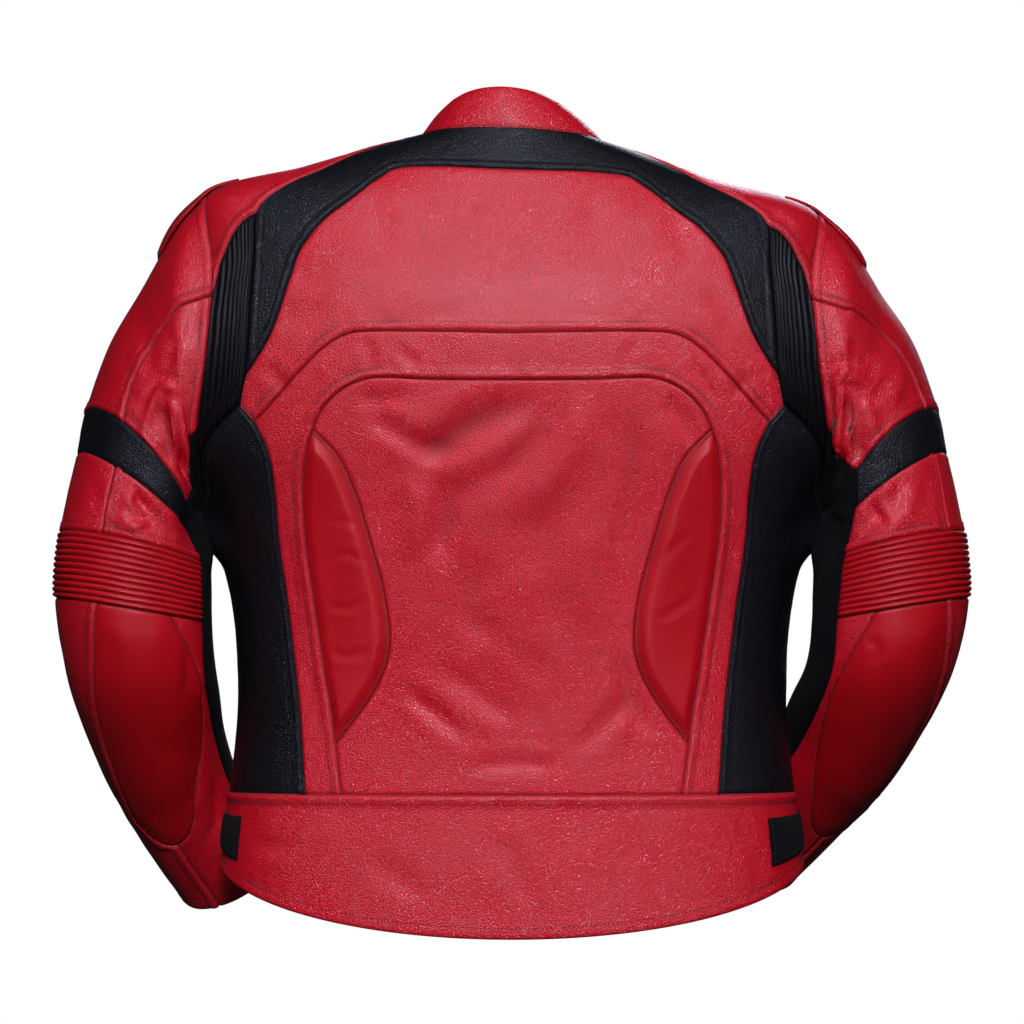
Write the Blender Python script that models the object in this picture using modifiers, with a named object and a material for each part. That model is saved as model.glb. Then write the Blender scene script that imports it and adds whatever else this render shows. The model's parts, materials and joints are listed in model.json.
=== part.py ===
"""Leather motorcycle jacket, filled out as it is worn, built panel by panel.

Metres, +Z up, +X to the wearer's right, +Y to the wearer's front. The origin lies between the two
shoulders at the neck, where the wearer carries the jacket. Every panel is a leather wall whose outer
face lies on one of three lofts: the trunk, a sleeve or the collar. Tables are in millimetres.
"""

import math
from collections import namedtuple
from functools import partial

import bmesh
import bpy
import numpy as np
from mathutils import Matrix

MM = 0.001
LEATHER = 2.0 * MM
PADDED = 3.0 * MM
SEAM_GAP = 0.3 * MM
RIM_TAPER = 0.3 * MM
CREASE_LIMIT = 0.35
FOLD_CLOSED, FOLD_OPEN = -0.5, 0.2
CORNER_LIMIT = 0.08
SHARP_ANGLE = 40.0

# Small steps in loft coordinates that measure a slope, and how a seam is searched for on a loft.
ANGLE_PROBE, ROW_PROBE = np.array([0.4, 0.0]), np.array([0.0, 0.01])
SEARCH_STEPS, SEARCH_END = 80, 1e-5
SEARCH_DAMPING, LONGEST_STEP = np.diag([0.002, 0.4]), np.array([10, 0.5])

# The jacket hangs a little askew: heights and amounts in metres.
SHOULDER_TILT = 0.035
TILT_START, TILT_FULL = -0.160, 0.0
COLLAR_LEAN = 0.006
COLLAR_FOOT, COLLAR_HEIGHT = 0.012, 0.037

# Trunk rings from the hem to the neck. Heights are at the side, centre back and centre front.
BodyRing = namedtuple("BodyRing", "name side_z back_z front_z half_width back_depth front_depth "
                                  "centre_y squareness")
TRUNK_RINGS = tuple(BodyRing(*row) for row in (
    ("hem", -572, -628, -566, 233, 104, 100, 0, 0.030),
    ("drop", -545, -572, -541, 230, 102, 99, 0, 0.030),
    ("belt", -514, -514, -514, 226, 100, 98, 0, 0.030),
    ("waist", -440, -440, -440, 219.5, 100, 99, 0, 0.030),
    ("ribs", -360, -360, -360, 225, 106, 104, 0, 0.030),
    ("underarm", -288, -288, -288, 247, 113, 110, 0, 0.035),
    ("chest", -225, -225, -232, 274, 118, 113, 0, 0.045),
    ("blades", -165, -165, -184, 274, 119, 112, 0, 0.050),
    ("upper", -100, -112, -140, 260, 113, 108, 1, 0.050),
    ("shoulder", -45, -66, -108, 244, 101, 101, 3, 0.040),
    ("ridge_outer", -24, -28, -80, 170, 89, 91, 6, 0.030),
    ("ridge_inner", -10, 0, -58, 116, 79, 81, 9, 0.020),
    ("neck", -3, 17.6, -45, 78, 73, 74, 11, 0.010),
))
BELT, BLADES, NECK = 2.0, 7.0, 12.0

COLLAR_RINGS = tuple(BodyRing(*row) for row in (
    ("base", -3, 17.6, -45, 78, 73, 74, 11, 0.010),
    ("middle", 12, 35, -28, 64, 68, 69, 10, 0.010),
    ("rim", 23, 49.6, -12, 50, 60, 61, 9, 0.010),
))
COLLAR_RIM = 2.0

# Sleeve rings from the armhole to the cuff, seen from the back: outer and inner edge, fore-and-aft
# centre, half depth, lean of the ring about its own edge line, and how far the right forearm swings in.
SleeveRing = namedtuple("SleeveRing", "name outer_x outer_z inner_x inner_z centre_y half_depth lean "
                                      "swing_x swing_y swing_z")
SLEEVE_RINGS = tuple(SleeveRing(*row) for row in (
    ("cap_top", 268, -68, 255, -283, 0, 79, 0, 0, 0, 0),
    ("cap_middle", 294, -110, 257, -288, 0, 79, -8, 0, 0, 0),
    ("biceps", 320, -154, 257, -297, 0, 77, -14, 0, 0, 0),
    ("band_top", 340, -208, 254, -308, -2, 74, -16, 0, 0, 0),
    ("band_bottom", 348, -243, 249, -319, -5, 71, -11, 0, 0, 0),
    ("ribs_top", 361, -306, 241, -334, -9, 67, -7, 0, 0, 0),
    ("ribs_bottom", 365, -358, 239, -379, -9, 66, -2, 0, 0, 0),
    ("elbow", 359, -404, 237, -411, 0, 63, 5, 2, 0, 0),
    ("forearm_top", 350, -444, 234, -436, 19, 59, 13, 9, -5, 0),
    ("forearm", 327, -504, 231, -467, 58, 54, 20, 19, -12, -2),
    ("wrist", 301, -554, 218, -508, 98, 49, 26, 30, -20, -8),
    ("cuff", 267, -606, 188, -560, 136, 44, 28, 40, -24, -14),
))
BAND_TOP, BAND_BOTTOM, RIBS_TOP, RIBS_BOTTOM, CUFF = 4.0, 5.0, 6.0, 7.0, 12.0

# Back seams, right half, as x and z of the finished jacket seen from the back.
YOKE_SEAM = ((211, -180), (203, -169), (192, -150), (184, -130), (177, -108), (170, -88), (160, -73),
             (148, -60), (132, -48), (118, -37), (104, -26), (90, -19), (60, -17), (30, -17.4), (0, -17.6))
RIB_INNER_SEAM = ((211, -180), (209.5, -160), (208, -135), (206, -105), (204.5, -80), (203, -56))
NOTCH_SEAM = ((215.5, -206), (211, -180))
RIB_TOP_SEAM = ((203, -56), (212, -61), (221, -71), (228, -85), (233, -97))
UPPER_ARCH_SEAM = ((204, -219), (189, -202), (168, -178), (150, -160), (132, -149), (110, -146),
                   (60, -146), (0, -147))
INNER_ARCH_SEAM = ((135, -513.9), (140.5, -474), (150.5, -408), (157, -364), (163, -322), (166, -280),
                   (164, -246), (158, -224), (150, -208), (135, -193), (118, -185), (100, -183),
                   (60, -184.5), (0, -185))
KIDNEY_SEAM = ((140.5, -474), (121, -449), (107, -427), (99, -406), (97, -386), (102, -351), (111, -317),
               (124, -275), (138, -245), (158, -224))
SIDE_SEAM = ((164.4, -513.9), (167.6, -468), (172, -420), (177.6, -372), (184.4, -324), (188.4, -276),
             (191.6, -252), (196, -236), (204, -219))

ARMHOLE_HALF_ANGLE = 34.0
ARMHOLE_HALF_RINGS = 2.0
# Stations round the armhole in degrees: 0 at its back, 90 at the shoulder, 270 at the armpit.
ARMHOLE_BLADE = (-50, -40, -30, -22, -13, -5, 3, 12, 20)
ARMHOLE_SIDE = (-50, -70, -90)
ARMHOLE_TOP = (20, 38, 56, 73, 90, 110, 130)
ARMHOLE_FRONT = (270, 250, 230, 210, 190, 170, 150, 130)
ARMHOLE_UNDER = (-30, -22, -13, -5, 3, 12, 20)
ARMHOLE_STRETCH = (250, 270, 290, 310, 320, 330)

# Where the long seams change partners, counted in the points of their tables.
YOKE_TAIL_END = 10
KIDNEY_FOOT, KIDNEY_HEAD = 1, 7
PAD_TRIM = 0.15
# How many straight steps each stretch of seam has; both panels of a seam share them.
PAD_STEPS = 5
TAIL_STEPS, TAIL_CENTRE_STEPS = 8, 4
SHOULDER_STEPS, BLADE_EDGE_STEPS = 8, 6
NECK_BACK_STEPS, NECK_SIDE_STEPS, NECK_FRONT_STEPS = 4, 6, 6
TIP_STEPS, LEG_STEPS, BELT_ARCH_STEPS, BELT_BACK_STEPS = 2, 1, 3, 11
BELT_SIDE_STEPS, BELT_FRONT_STEPS = 6, 6
COLLAR_STEPS = 3
NECK_SHOULDER_ANGLE, NECK_FRONT_ANGLE = 65.0, 118.0
SHOULDER_SEAM = ((50, 9.25), (53, 9.7), (57, 10.15), (61, 10.6), (65, 11.1))
FRONT_SEAM_ANGLE = 93.0
STRETCH_FRONT = 250.0
ZIP_HALF_WIDTH = 6.0 * MM
TAPE_THICKNESS = 1.5 * MM

# The slider stands near the top of the zip and its pull tab hangs on a pin.
SLIDER_ROW = 11.1
SLIDER_CLEAR = 0.4 * MM
SLIDER_WIDTH, SLIDER_DEPTH, SLIDER_LENGTH = 9.0 * MM, 3.0 * MM, 13.0 * MM
LUG_THICKNESS, LUG_RADIUS, LUG_OFFSET = 1.2 * MM, 2.0 * MM, 3.6 * MM
PIN_RADIUS, EYE_HOLE, EYE_RADIUS = 0.7 * MM, 1.1 * MM, 2.1 * MM
TAB_WIDTH, TAB_PLATE, TAB_LENGTH = 5.2 * MM, 1.6 * MM, 26.0 * MM

# The hard shell on each shoulder point.
GUARD_ROWS = (-0.40, -0.20, 0.0, 0.35, 0.75, 1.15, 1.5)
GUARD_COLUMNS = 6
GUARD_TRUNK_ROWS = 1.0
GUARD_CENTRE, GUARD_HALF_ANGLE = 103.0, 25.0
GUARD_ROUNDING = 0.45
GUARD_CLEAR = 1.2 * MM
GUARD_THICKNESS = 2.0 * MM
GUARD_RISE = 2.5 * MM

HEM_ROWS = (0.0, 0.6, 1.6, 2.0)
TAB_ROWS = slice(1, 3)
TAB_START = {1: 2, -1: 3}
TAB_END = 3
HEM_TAB_THICKNESS = 2.5 * MM

# Long seams of a sleeve: row, angle of the stretch panel's back edge, angle of the outer seam.
SLEEVE_SEAMS = ((0.0, -30, 20), (3.0, -36, 40), (4.0, -28, 50), (5.0, -38, 44), (6.0, -50, 38),
                (7.0, -54, 36), (9.0, -51, 52), (10.5, -46, 69), (12.0, -50, 60))
UNDER_SHARES = (0.0, 0.19, 0.37, 0.53, 0.69, 0.84, 1.0)
# How far the right arm's seams turn outwards, and the left arm's inwards: row, degrees.
SLEEVE_TWIST = ((0.0, 0), (1.0, 0), (2.0, 4), (3.0, 9), (4.0, 15), (5.0, 15), (6.0, 12), (7.0, 9), (12.0, 8))
OUTER_STEPS = 12
ACCORDION_END = 5
BAND_STEPS, ELBOW_STEPS, BEND_STEPS, PANEL_STEPS, FOREARM_STEPS, STRETCH_STEPS = 2, 3, 4, 5, 8, 5
CAP_SEAM = ((241, -117), (265, -127), (285, -145), (301, -166), (313, -187), (320, -212))
UPPER_ROWS = (0.0, 0.6, 1.3, 2.0, 2.7, 3.4, 4.0)
ELBOW_PANEL_END = 10.5
ELBOW_INNER_SEAM = ((7.7, -37), (8.4, -44), (9.1, -41), (9.8, -28), (10.5, -2))
ELBOW_FOOT = ((14, 10.84), (36, 11.0), (57, 10.86))

RIB_COUNT_BACK = 9
RIB_COUNT_SLEEVE = 11
RIB_HEIGHT = 2.2 * MM
KIDNEY_RISE = 3.5 * MM
ELBOW_RISE = 3.0 * MM

COLOURS = {
    "red": (0.50, 0.012, 0.022, 1.0, 0.42, 0.0),
    "red_smooth": (0.46, 0.008, 0.016, 1.0, 0.32, 0.0),
    "black": (0.012, 0.013, 0.016, 1.0, 0.48, 0.0),
    "stretch": (0.008, 0.008, 0.009, 1.0, 0.85, 0.0),
    "hook": (0.005, 0.005, 0.005, 1.0, 0.95, 0.0),
    "guard": (0.42, 0.006, 0.012, 1.0, 0.12, 0.0),
    "metal": (0.30, 0.31, 0.33, 1.0, 0.30, 1.0),
}


# ---------------------------------------------------------------- curves and lofts

def spline(rows, at):
    """Catmull-Rom through the rows of a table (one row for each whole number), at any positions."""
    rows = np.asarray(rows, float)
    at = np.asarray(at, float)
    last = len(rows) - 1
    cell = np.clip(np.floor(at).astype(int), 0, last - 1)
    t = (at - cell)[..., None]
    padded = np.vstack([2 * rows[0] - rows[1], rows, 2 * rows[-1] - rows[-2]])
    p0, p1, p2, p3 = (padded[cell + k] for k in range(4))
    return p1 + 0.5 * t * (p2 - p0 + t * (2 * p0 - 5 * p1 + 4 * p2 - p3 + t * (3 * (p1 - p2) + p3 - p0)))


def parts_of(loft, points, cuts, counts):
    """A smooth seam in loft coordinates, resampled evenly part by part between the cut points."""
    points = np.asarray(points, float)
    steps = 30
    fine = points if len(points) == 2 else spline(points, np.linspace(0, len(points) - 1,
                                                                      steps * (len(points) - 1) + 1))
    if len(points) == 2:
        fine = np.linspace(points[0], points[1], steps + 1)
    done = []
    ends = [0, *cuts, len(points) - 1]
    for start, end, count in zip(ends[:-1], ends[1:], counts):
        piece = fine[start * steps:end * steps + 1]
        lengths = np.linalg.norm(np.diff(loft.points(piece), axis=0), axis=1)
        along = np.concatenate([[0], np.cumsum(lengths)])
        at = np.linspace(0, along[-1], count + 1)
        done.append(np.stack([np.interp(at, along, piece[:, k]) for k in (0, 1)], axis=1))
    return done


def even(loft, points, count):
    """A smooth seam in loft coordinates, cut into a number of even steps."""
    return parts_of(loft, points, (), (count,))[0]


def joined(*curves):
    """Curves laid end to end as one, each starting where the one before it ends."""
    return np.concatenate([curves[0]] + [c[1:] for c in curves[1:]])


def refined(points, times):
    """Each straight step of a curve cut into equal shorter ones."""
    at = np.linspace(0, len(points) - 1, (len(points) - 1) * times + 1)
    return np.stack([np.interp(at, np.arange(len(points)), points[:, k]) for k in (0, 1)], axis=1)


def mirrored(points):
    """The same trunk curve on the other side of the centre back."""
    return np.asarray(points) * (-1, 1)


def full_width(half):
    """A curve that ends on the centre back, continued on the other side: left end first."""
    return np.vstack([mirrored(half), half[::-1][1:]])


def ring_table(rings):
    return np.array([ring[1:] for ring in rings], float)


def loft_ring(rings, angle, row):
    """Points of a body loft: angle in degrees from the centre back, row counted along the rings."""
    side_z, back_z, front_z, half_width, back, front, centre_y, square = np.moveaxis(
        spline(ring_table(rings), row), -1, 0)
    a = np.radians(angle)
    across = (np.sin(a) + square * np.sin(3 * a)) / (1 - square)
    along = (np.cos(a) - square * np.cos(3 * a)) / (1 - square)
    mean = (back_z + front_z) / 2
    z = (mean + side_z) / 2 + (back_z - front_z) / 2 * np.cos(a) + (mean - side_z) / 2 * np.cos(2 * a)
    y = centre_y - np.where(along > 0, back, front) * along
    return np.stack([half_width * across, y, z], axis=-1) * MM


def trunk(grid):
    return loft_ring(TRUNK_RINGS, grid[..., 0], grid[..., 1])


def collar(grid):
    return loft_ring(COLLAR_RINGS, grid[..., 0], grid[..., 1])


def armhole(angle):
    """The armhole in trunk coordinates: 0 degrees at its back, 90 at the shoulder, 270 at the armpit."""
    a = np.radians(angle)
    return np.stack([90 - ARMHOLE_HALF_ANGLE * np.cos(a), BLADES + ARMHOLE_HALF_RINGS * np.sin(a)], axis=-1)


# Folds that show in the outline or from a step away: where the hollow is, its half width and half
# length, its turn from the sleeve's own direction and how deep it is. Ridges have a negative depth.
Fold = namedtuple("Fold", "angle row half_width half_length turn depth")
SLEEVE_FOLDS = tuple(Fold(*row) for row in (
    (-28, 3.05, 11, 20, -18, 9.0),
    (-6, 3.10, 9, 19, 20, -5.0),
    (-52, 2.95, 10, 18, -8, -4.0),
    (-4, 5.45, 9, 20, 52, 4.5),
    (6, 5.75, 8, 20, 60, -3.0),
    (150, 5.60, 12, 34, 84, 4.0),
    (165, 6.60, 12, 36, 88, 4.5),
    (205, 3.60, 12, 32, 30, 5.0),
    (60, 2.50, 16, 36, 66, 2.5),
))
SLEEVE_RADIUS = 62.0
SLEEVE_PITCH = 44.0


def fold_depth(angle, row):
    """How far the folds press the sleeve in, in millimetres."""
    total = np.zeros(np.broadcast(angle, row).shape)
    for fold in SLEEVE_FOLDS:
        around = np.radians((angle - fold.angle + 180) % 360 - 180) * SLEEVE_RADIUS
        along = (row - fold.row) * SLEEVE_PITCH
        c, s = math.cos(math.radians(fold.turn)), math.sin(math.radians(fold.turn))
        wide, length = around * c + along * s, along * c - around * s
        total += fold.depth * np.exp(-(wide / fold.half_width) ** 2 - (length / fold.half_length) ** 2)
    return total


def sleeve_rings(angle, side):
    """The points at one angle on the armhole and on every ring of a sleeve."""
    a = np.radians(angle)[..., None]
    (outer_x, outer_z, inner_x, inner_z, centre_y, depth, lean,
     swing_x, swing_y, swing_z) = ring_table(SLEEVE_RINGS).T
    swing = 1.0 if side > 0 else 0.0
    reach_x, reach_z = (outer_x - inner_x) / 2, (outer_z - inner_z) / 2
    width = np.hypot(reach_x, reach_z)
    backward = depth * np.sin(np.radians(lean)) * np.cos(a)
    x = (outer_x + inner_x) / 2 - swing * swing_x + reach_x * np.sin(a) + reach_z / width * backward
    z = (outer_z + inner_z) / 2 - swing * swing_z + reach_z * np.sin(a) - reach_x / width * backward
    y = centre_y - swing * swing_y - depth * np.cos(np.radians(lean)) * np.cos(a)
    rings = np.stack([x, y, z], axis=-1) * MM
    return np.concatenate([trunk(armhole(angle))[..., None, :], rings], axis=-2)


def bare_sleeve(grid, side):
    """A sleeve without its folds: a smooth run through its rings at each angle."""
    rings = sleeve_rings(grid[..., 0], side)
    last = rings.shape[-2] - 1
    row = grid[..., 1]
    cell = np.clip(np.floor(row).astype(int), 0, last - 1)
    t = (row - cell)[..., None]
    padded = np.concatenate([2 * rings[..., :1, :] - rings[..., 1:2, :], rings,
                             2 * rings[..., -1:, :] - rings[..., -2:-1, :]], axis=-2)
    p0, p1, p2, p3 = (np.take_along_axis(padded, (cell + k)[..., None, None], axis=-2)[..., 0, :]
                      for k in range(4))
    return p1 + 0.5 * t * (p2 - p0 + t * (2 * p0 - 5 * p1 + 4 * p2 - p3 + t * (3 * (p1 - p2) + p3 - p0)))


def normals(surface, grid):
    """Unit normals of a loft whose rows run upwards, pointing out of the garment."""
    n = np.cross(surface(grid + ANGLE_PROBE) - surface(grid - ANGLE_PROBE),
                 surface(grid + ROW_PROBE) - surface(grid - ROW_PROBE))
    return n / np.maximum(np.linalg.norm(n, axis=-1, keepdims=True), 1e-12)


def sleeve(grid, side=1):
    """Points of a sleeve: the angle is 0 at its back and 90 outermost, and row 0 is the armhole."""
    bare = partial(bare_sleeve, side=side)
    depth = fold_depth(grid[..., 0], grid[..., 1]) * MM
    return bare(grid) + normals(bare, grid) * depth[..., None]


class Loft:
    """A surface of loft coordinates with its outward normals."""

    def __init__(self, points, downward=False):
        self.points = points
        self.turn = -1.0 if downward else 1.0

    def normals(self, grid):
        return self.turn * normals(self.points, grid)


TRUNK = Loft(trunk)
COLLAR = Loft(collar)
SLEEVES = {side: Loft(partial(sleeve, side=side), downward=True) for side in (-1, 1)}


def mitre(own, other):
    """The thickness direction that two faces share at a crease; past a sharp fold each keeps its own."""
    together = np.sum(own * other, axis=-1, keepdims=True)
    share = np.clip((together - FOLD_CLOSED) / (FOLD_OPEN - FOLD_CLOSED), 0, 1)
    return share * (own + other) / np.maximum(1 + together, CREASE_LIMIT) + (1 - share) * own


def thickness_directions(loft, grid):
    """Outward directions for a wall's thickness, mitred where the trunk meets a sleeve or the collar."""
    mirror = np.where(grid[..., :1] < 0, [-1, 1, 1], 1) if loft in (TRUNK, COLLAR) else 1
    grid = grid * (np.where(grid[..., :1] < 0, [-1, 1], 1) if loft in (TRUNK, COLLAR) else 1)
    angle, row = grid[..., 0], grid[..., 1]
    out = loft.normals(grid)
    if loft is TRUNK:
        reach = np.stack([(90 - angle) / ARMHOLE_HALF_ANGLE, (row - BLADES) / ARMHOLE_HALF_RINGS], axis=-1)
        on_armhole = np.abs(np.linalg.norm(reach, axis=-1) - 1) < 1e-3
        around = np.degrees(np.arctan2(reach[..., 1], reach[..., 0]))
        at_sleeve = SLEEVES[1].normals(np.stack([around, 0 * row], axis=-1))
        at_collar = COLLAR.normals(np.stack([angle, 0 * row], axis=-1))
        out = np.where(on_armhole[..., None], mitre(out, at_sleeve), out)
        out = np.where((row > NECK - 1e-6)[..., None], mitre(out, at_collar), out)
    elif loft is COLLAR:
        at_trunk = TRUNK.normals(np.stack([angle, 0 * row + NECK], axis=-1))
        out = np.where((row < 1e-6)[..., None], mitre(out, at_trunk), out)
    else:
        at_trunk = TRUNK.normals(armhole(angle))
        out = np.where((row < 1e-6)[..., None], mitre(SLEEVES[1].normals(grid), at_trunk), out)
    return out * mirror


def located(loft, seam, start):
    """The loft coordinates of a seam given as x and z, followed from a starting guess by damped steps."""
    found = []
    at = np.array(start, float)
    for target in np.array(seam, float):
        for _ in range(SEARCH_STEPS):
            slope = np.stack([(loft.points(at + d) - loft.points(at - d))[[0, 2]] / MM / (2 * d.sum())
                              for d in (ANGLE_PROBE, ROW_PROBE)], axis=1)
            miss = target - loft.points(at)[[0, 2]] / MM
            step = np.linalg.solve(slope.T @ slope + SEARCH_DAMPING, slope.T @ miss)
            at = at + np.clip(step, -LONGEST_STEP, LONGEST_STEP)
            if np.abs(step).max() < SEARCH_END:
                break
        found.append(at.copy())
    return np.array(found)


def patch(bottom, right, top, left):
    """A grid over four seams. Bottom and top run from left to right, left and right run upwards."""
    u = np.linspace(0, 1, len(bottom))[None, :, None]
    v = np.linspace(0, 1, len(left))[:, None, None]
    corners = ((1 - u) * (1 - v) * bottom[0] + u * (1 - v) * bottom[-1]
               + (1 - u) * v * top[0] + u * v * top[-1])
    return ((1 - v) * bottom[None] + v * top[None] + (1 - u) * left[:, None] + u * right[:, None]) - corners


def settled(points):
    """How the jacket hangs in wear: the right shoulder a little lower, the collar leaning left."""
    points = points.copy()
    height = np.clip((points[..., 2] - TILT_START) / (TILT_FULL - TILT_START), 0, 1)
    points[..., 2] -= SHOULDER_TILT * height ** 2 * (3 - 2 * height) * points[..., 0]
    points[..., 0] -= COLLAR_LEAN * np.clip((points[..., 2] - COLLAR_FOOT) / COLLAR_HEIGHT, 0, 1)
    return points


def inset(points, out, amount):
    """Wall points with the four edges moved inwards by an amount."""
    shares = np.zeros(points.shape[:2] + (2, 3))
    for axis in (0, 1):
        edge_points, edge_out = (points, out) if axis == 0 else (points.swapaxes(0, 1), out.swapaxes(0, 1))
        store = shares[:, :, axis] if axis == 0 else shares[:, :, axis].swapaxes(0, 1)
        for edge, inner in ((0, 1), (-1, -2)):
            along = np.gradient(edge_points[edge], axis=0)
            inward = np.cross(edge_out[edge], along)
            inward /= np.maximum(np.linalg.norm(inward, axis=-1, keepdims=True), 1e-12)
            towards = np.sum(inward * (edge_points[inner] - edge_points[edge]), axis=-1, keepdims=True)
            store[edge] = inward * np.where(towards < 0, -1, 1)
    overlap = np.sum(shares[:, :, 0] * shares[:, :, 1], axis=-1, keepdims=True)
    moves = (shares[:, :, 0] + shares[:, :, 1]) / np.maximum(1 + overlap, CORNER_LIMIT)
    return points + moves * amount


# ---------------------------------------------------------------- objects

def new_material(name, look):
    material = bpy.data.materials.new(name)
    material.use_nodes = True
    shader = material.node_tree.nodes["Principled BSDF"]
    red, green, blue, alpha, roughness, metallic = look
    shader.inputs["Base Color"].default_value = (red, green, blue, alpha)
    shader.inputs["Roughness"].default_value = roughness
    shader.inputs["Metallic"].default_value = metallic
    return material


def finished(name, bm, colour):
    """A bmesh made an object of its own with its own material, placed under the jacket's empty."""
    mesh = bpy.data.meshes.new(name)
    bm.to_mesh(mesh)
    bm.free()
    mesh.shade_smooth()
    mesh.set_sharp_from_angle(angle=math.radians(SHARP_ANGLE))
    mesh.materials.append(new_material(f"{name}_{colour}", COLOURS[colour]))
    piece = bpy.data.objects.new(name, mesh)
    JACKET.objects.link(piece)
    return piece


def wall(name, loft, grid, colour, side=1, thickness=LEATHER, raised=0.0, clear=0.0, seamed=True):
    """A closed wall on a loft. The grid holds loft coordinates, its rows along the first axis."""
    out = thickness_directions(loft, grid)
    face = back = loft.points(grid)
    if seamed:
        face, back = inset(face, out, SEAM_GAP / 2), inset(face, out, SEAM_GAP / 2 + RIM_TAPER)
    out_face = face + out * (np.asarray(raised)[..., None] + (clear + thickness if clear else 0.0))
    in_face = back + out * (clear if clear else -thickness)
    mirror = np.array([side, 1, 1])
    layers = [settled(out_face * mirror), settled(in_face * mirror)]
    rows, columns = grid.shape[:2]
    bm = bmesh.new()
    bmesh.ops.create_grid(bm, x_segments=columns - 1, y_segments=rows - 1, size=0.5)
    bmesh.ops.scale(bm, vec=(columns - 1, rows - 1, 1), verts=bm.verts)
    bmesh.ops.translate(bm, vec=((columns - 1) / 2, (rows - 1) / 2, 0), verts=bm.verts)
    shell = bmesh.ops.extrude_face_region(bm, geom=bm.faces[:], use_keep_orig=True)["geom"]
    lifted = [item for item in shell if isinstance(item, bmesh.types.BMVert)]
    bmesh.ops.translate(bm, vec=(0, 0, 1), verts=lifted)
    for vert in bm.verts:
        column, row, layer = (round(value) for value in vert.co)
        vert.co = layers[layer][row, column]
    bmesh.ops.triangulate(bm, faces=bm.faces, quad_method="SHORT_EDGE")
    if bm.calc_volume(signed=True) < 0:
        bmesh.ops.reverse_faces(bm, faces=bm.faces)
    return finished(name, bm, colour)


# ---------------------------------------------------------------- seams of the trunk's right half

def zip_edge(row, x=ZIP_HALF_WIDTH):
    """Loft coordinates at the front where the trunk is a given distance from the centre front."""
    low, high = np.full(np.shape(row), 150.0), np.full(np.shape(row), 180.0)
    for _ in range(40):
        middle = (low + high) / 2
        outside = trunk(np.stack([middle, row], axis=-1))[..., 0] > x
        low, high = np.where(outside, middle, low), np.where(outside, high, middle)
    return np.stack([high, row], axis=-1)


def straight(start, end, count):
    return np.linspace(start, end, count + 1)


def armhole_arc(angles):
    return armhole(np.array(angles, float))


def with_blunt_ends(seam):
    """A seam with one more point near each end, where the pad beside it ends bluntly."""
    ends = seam[[1, -2]] * PAD_TRIM + seam[[0, -1]] * (1 - PAD_TRIM)
    return np.vstack([seam[:1], ends[:1], seam[1:-1], ends[1:], seam[-1:]])


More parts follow.
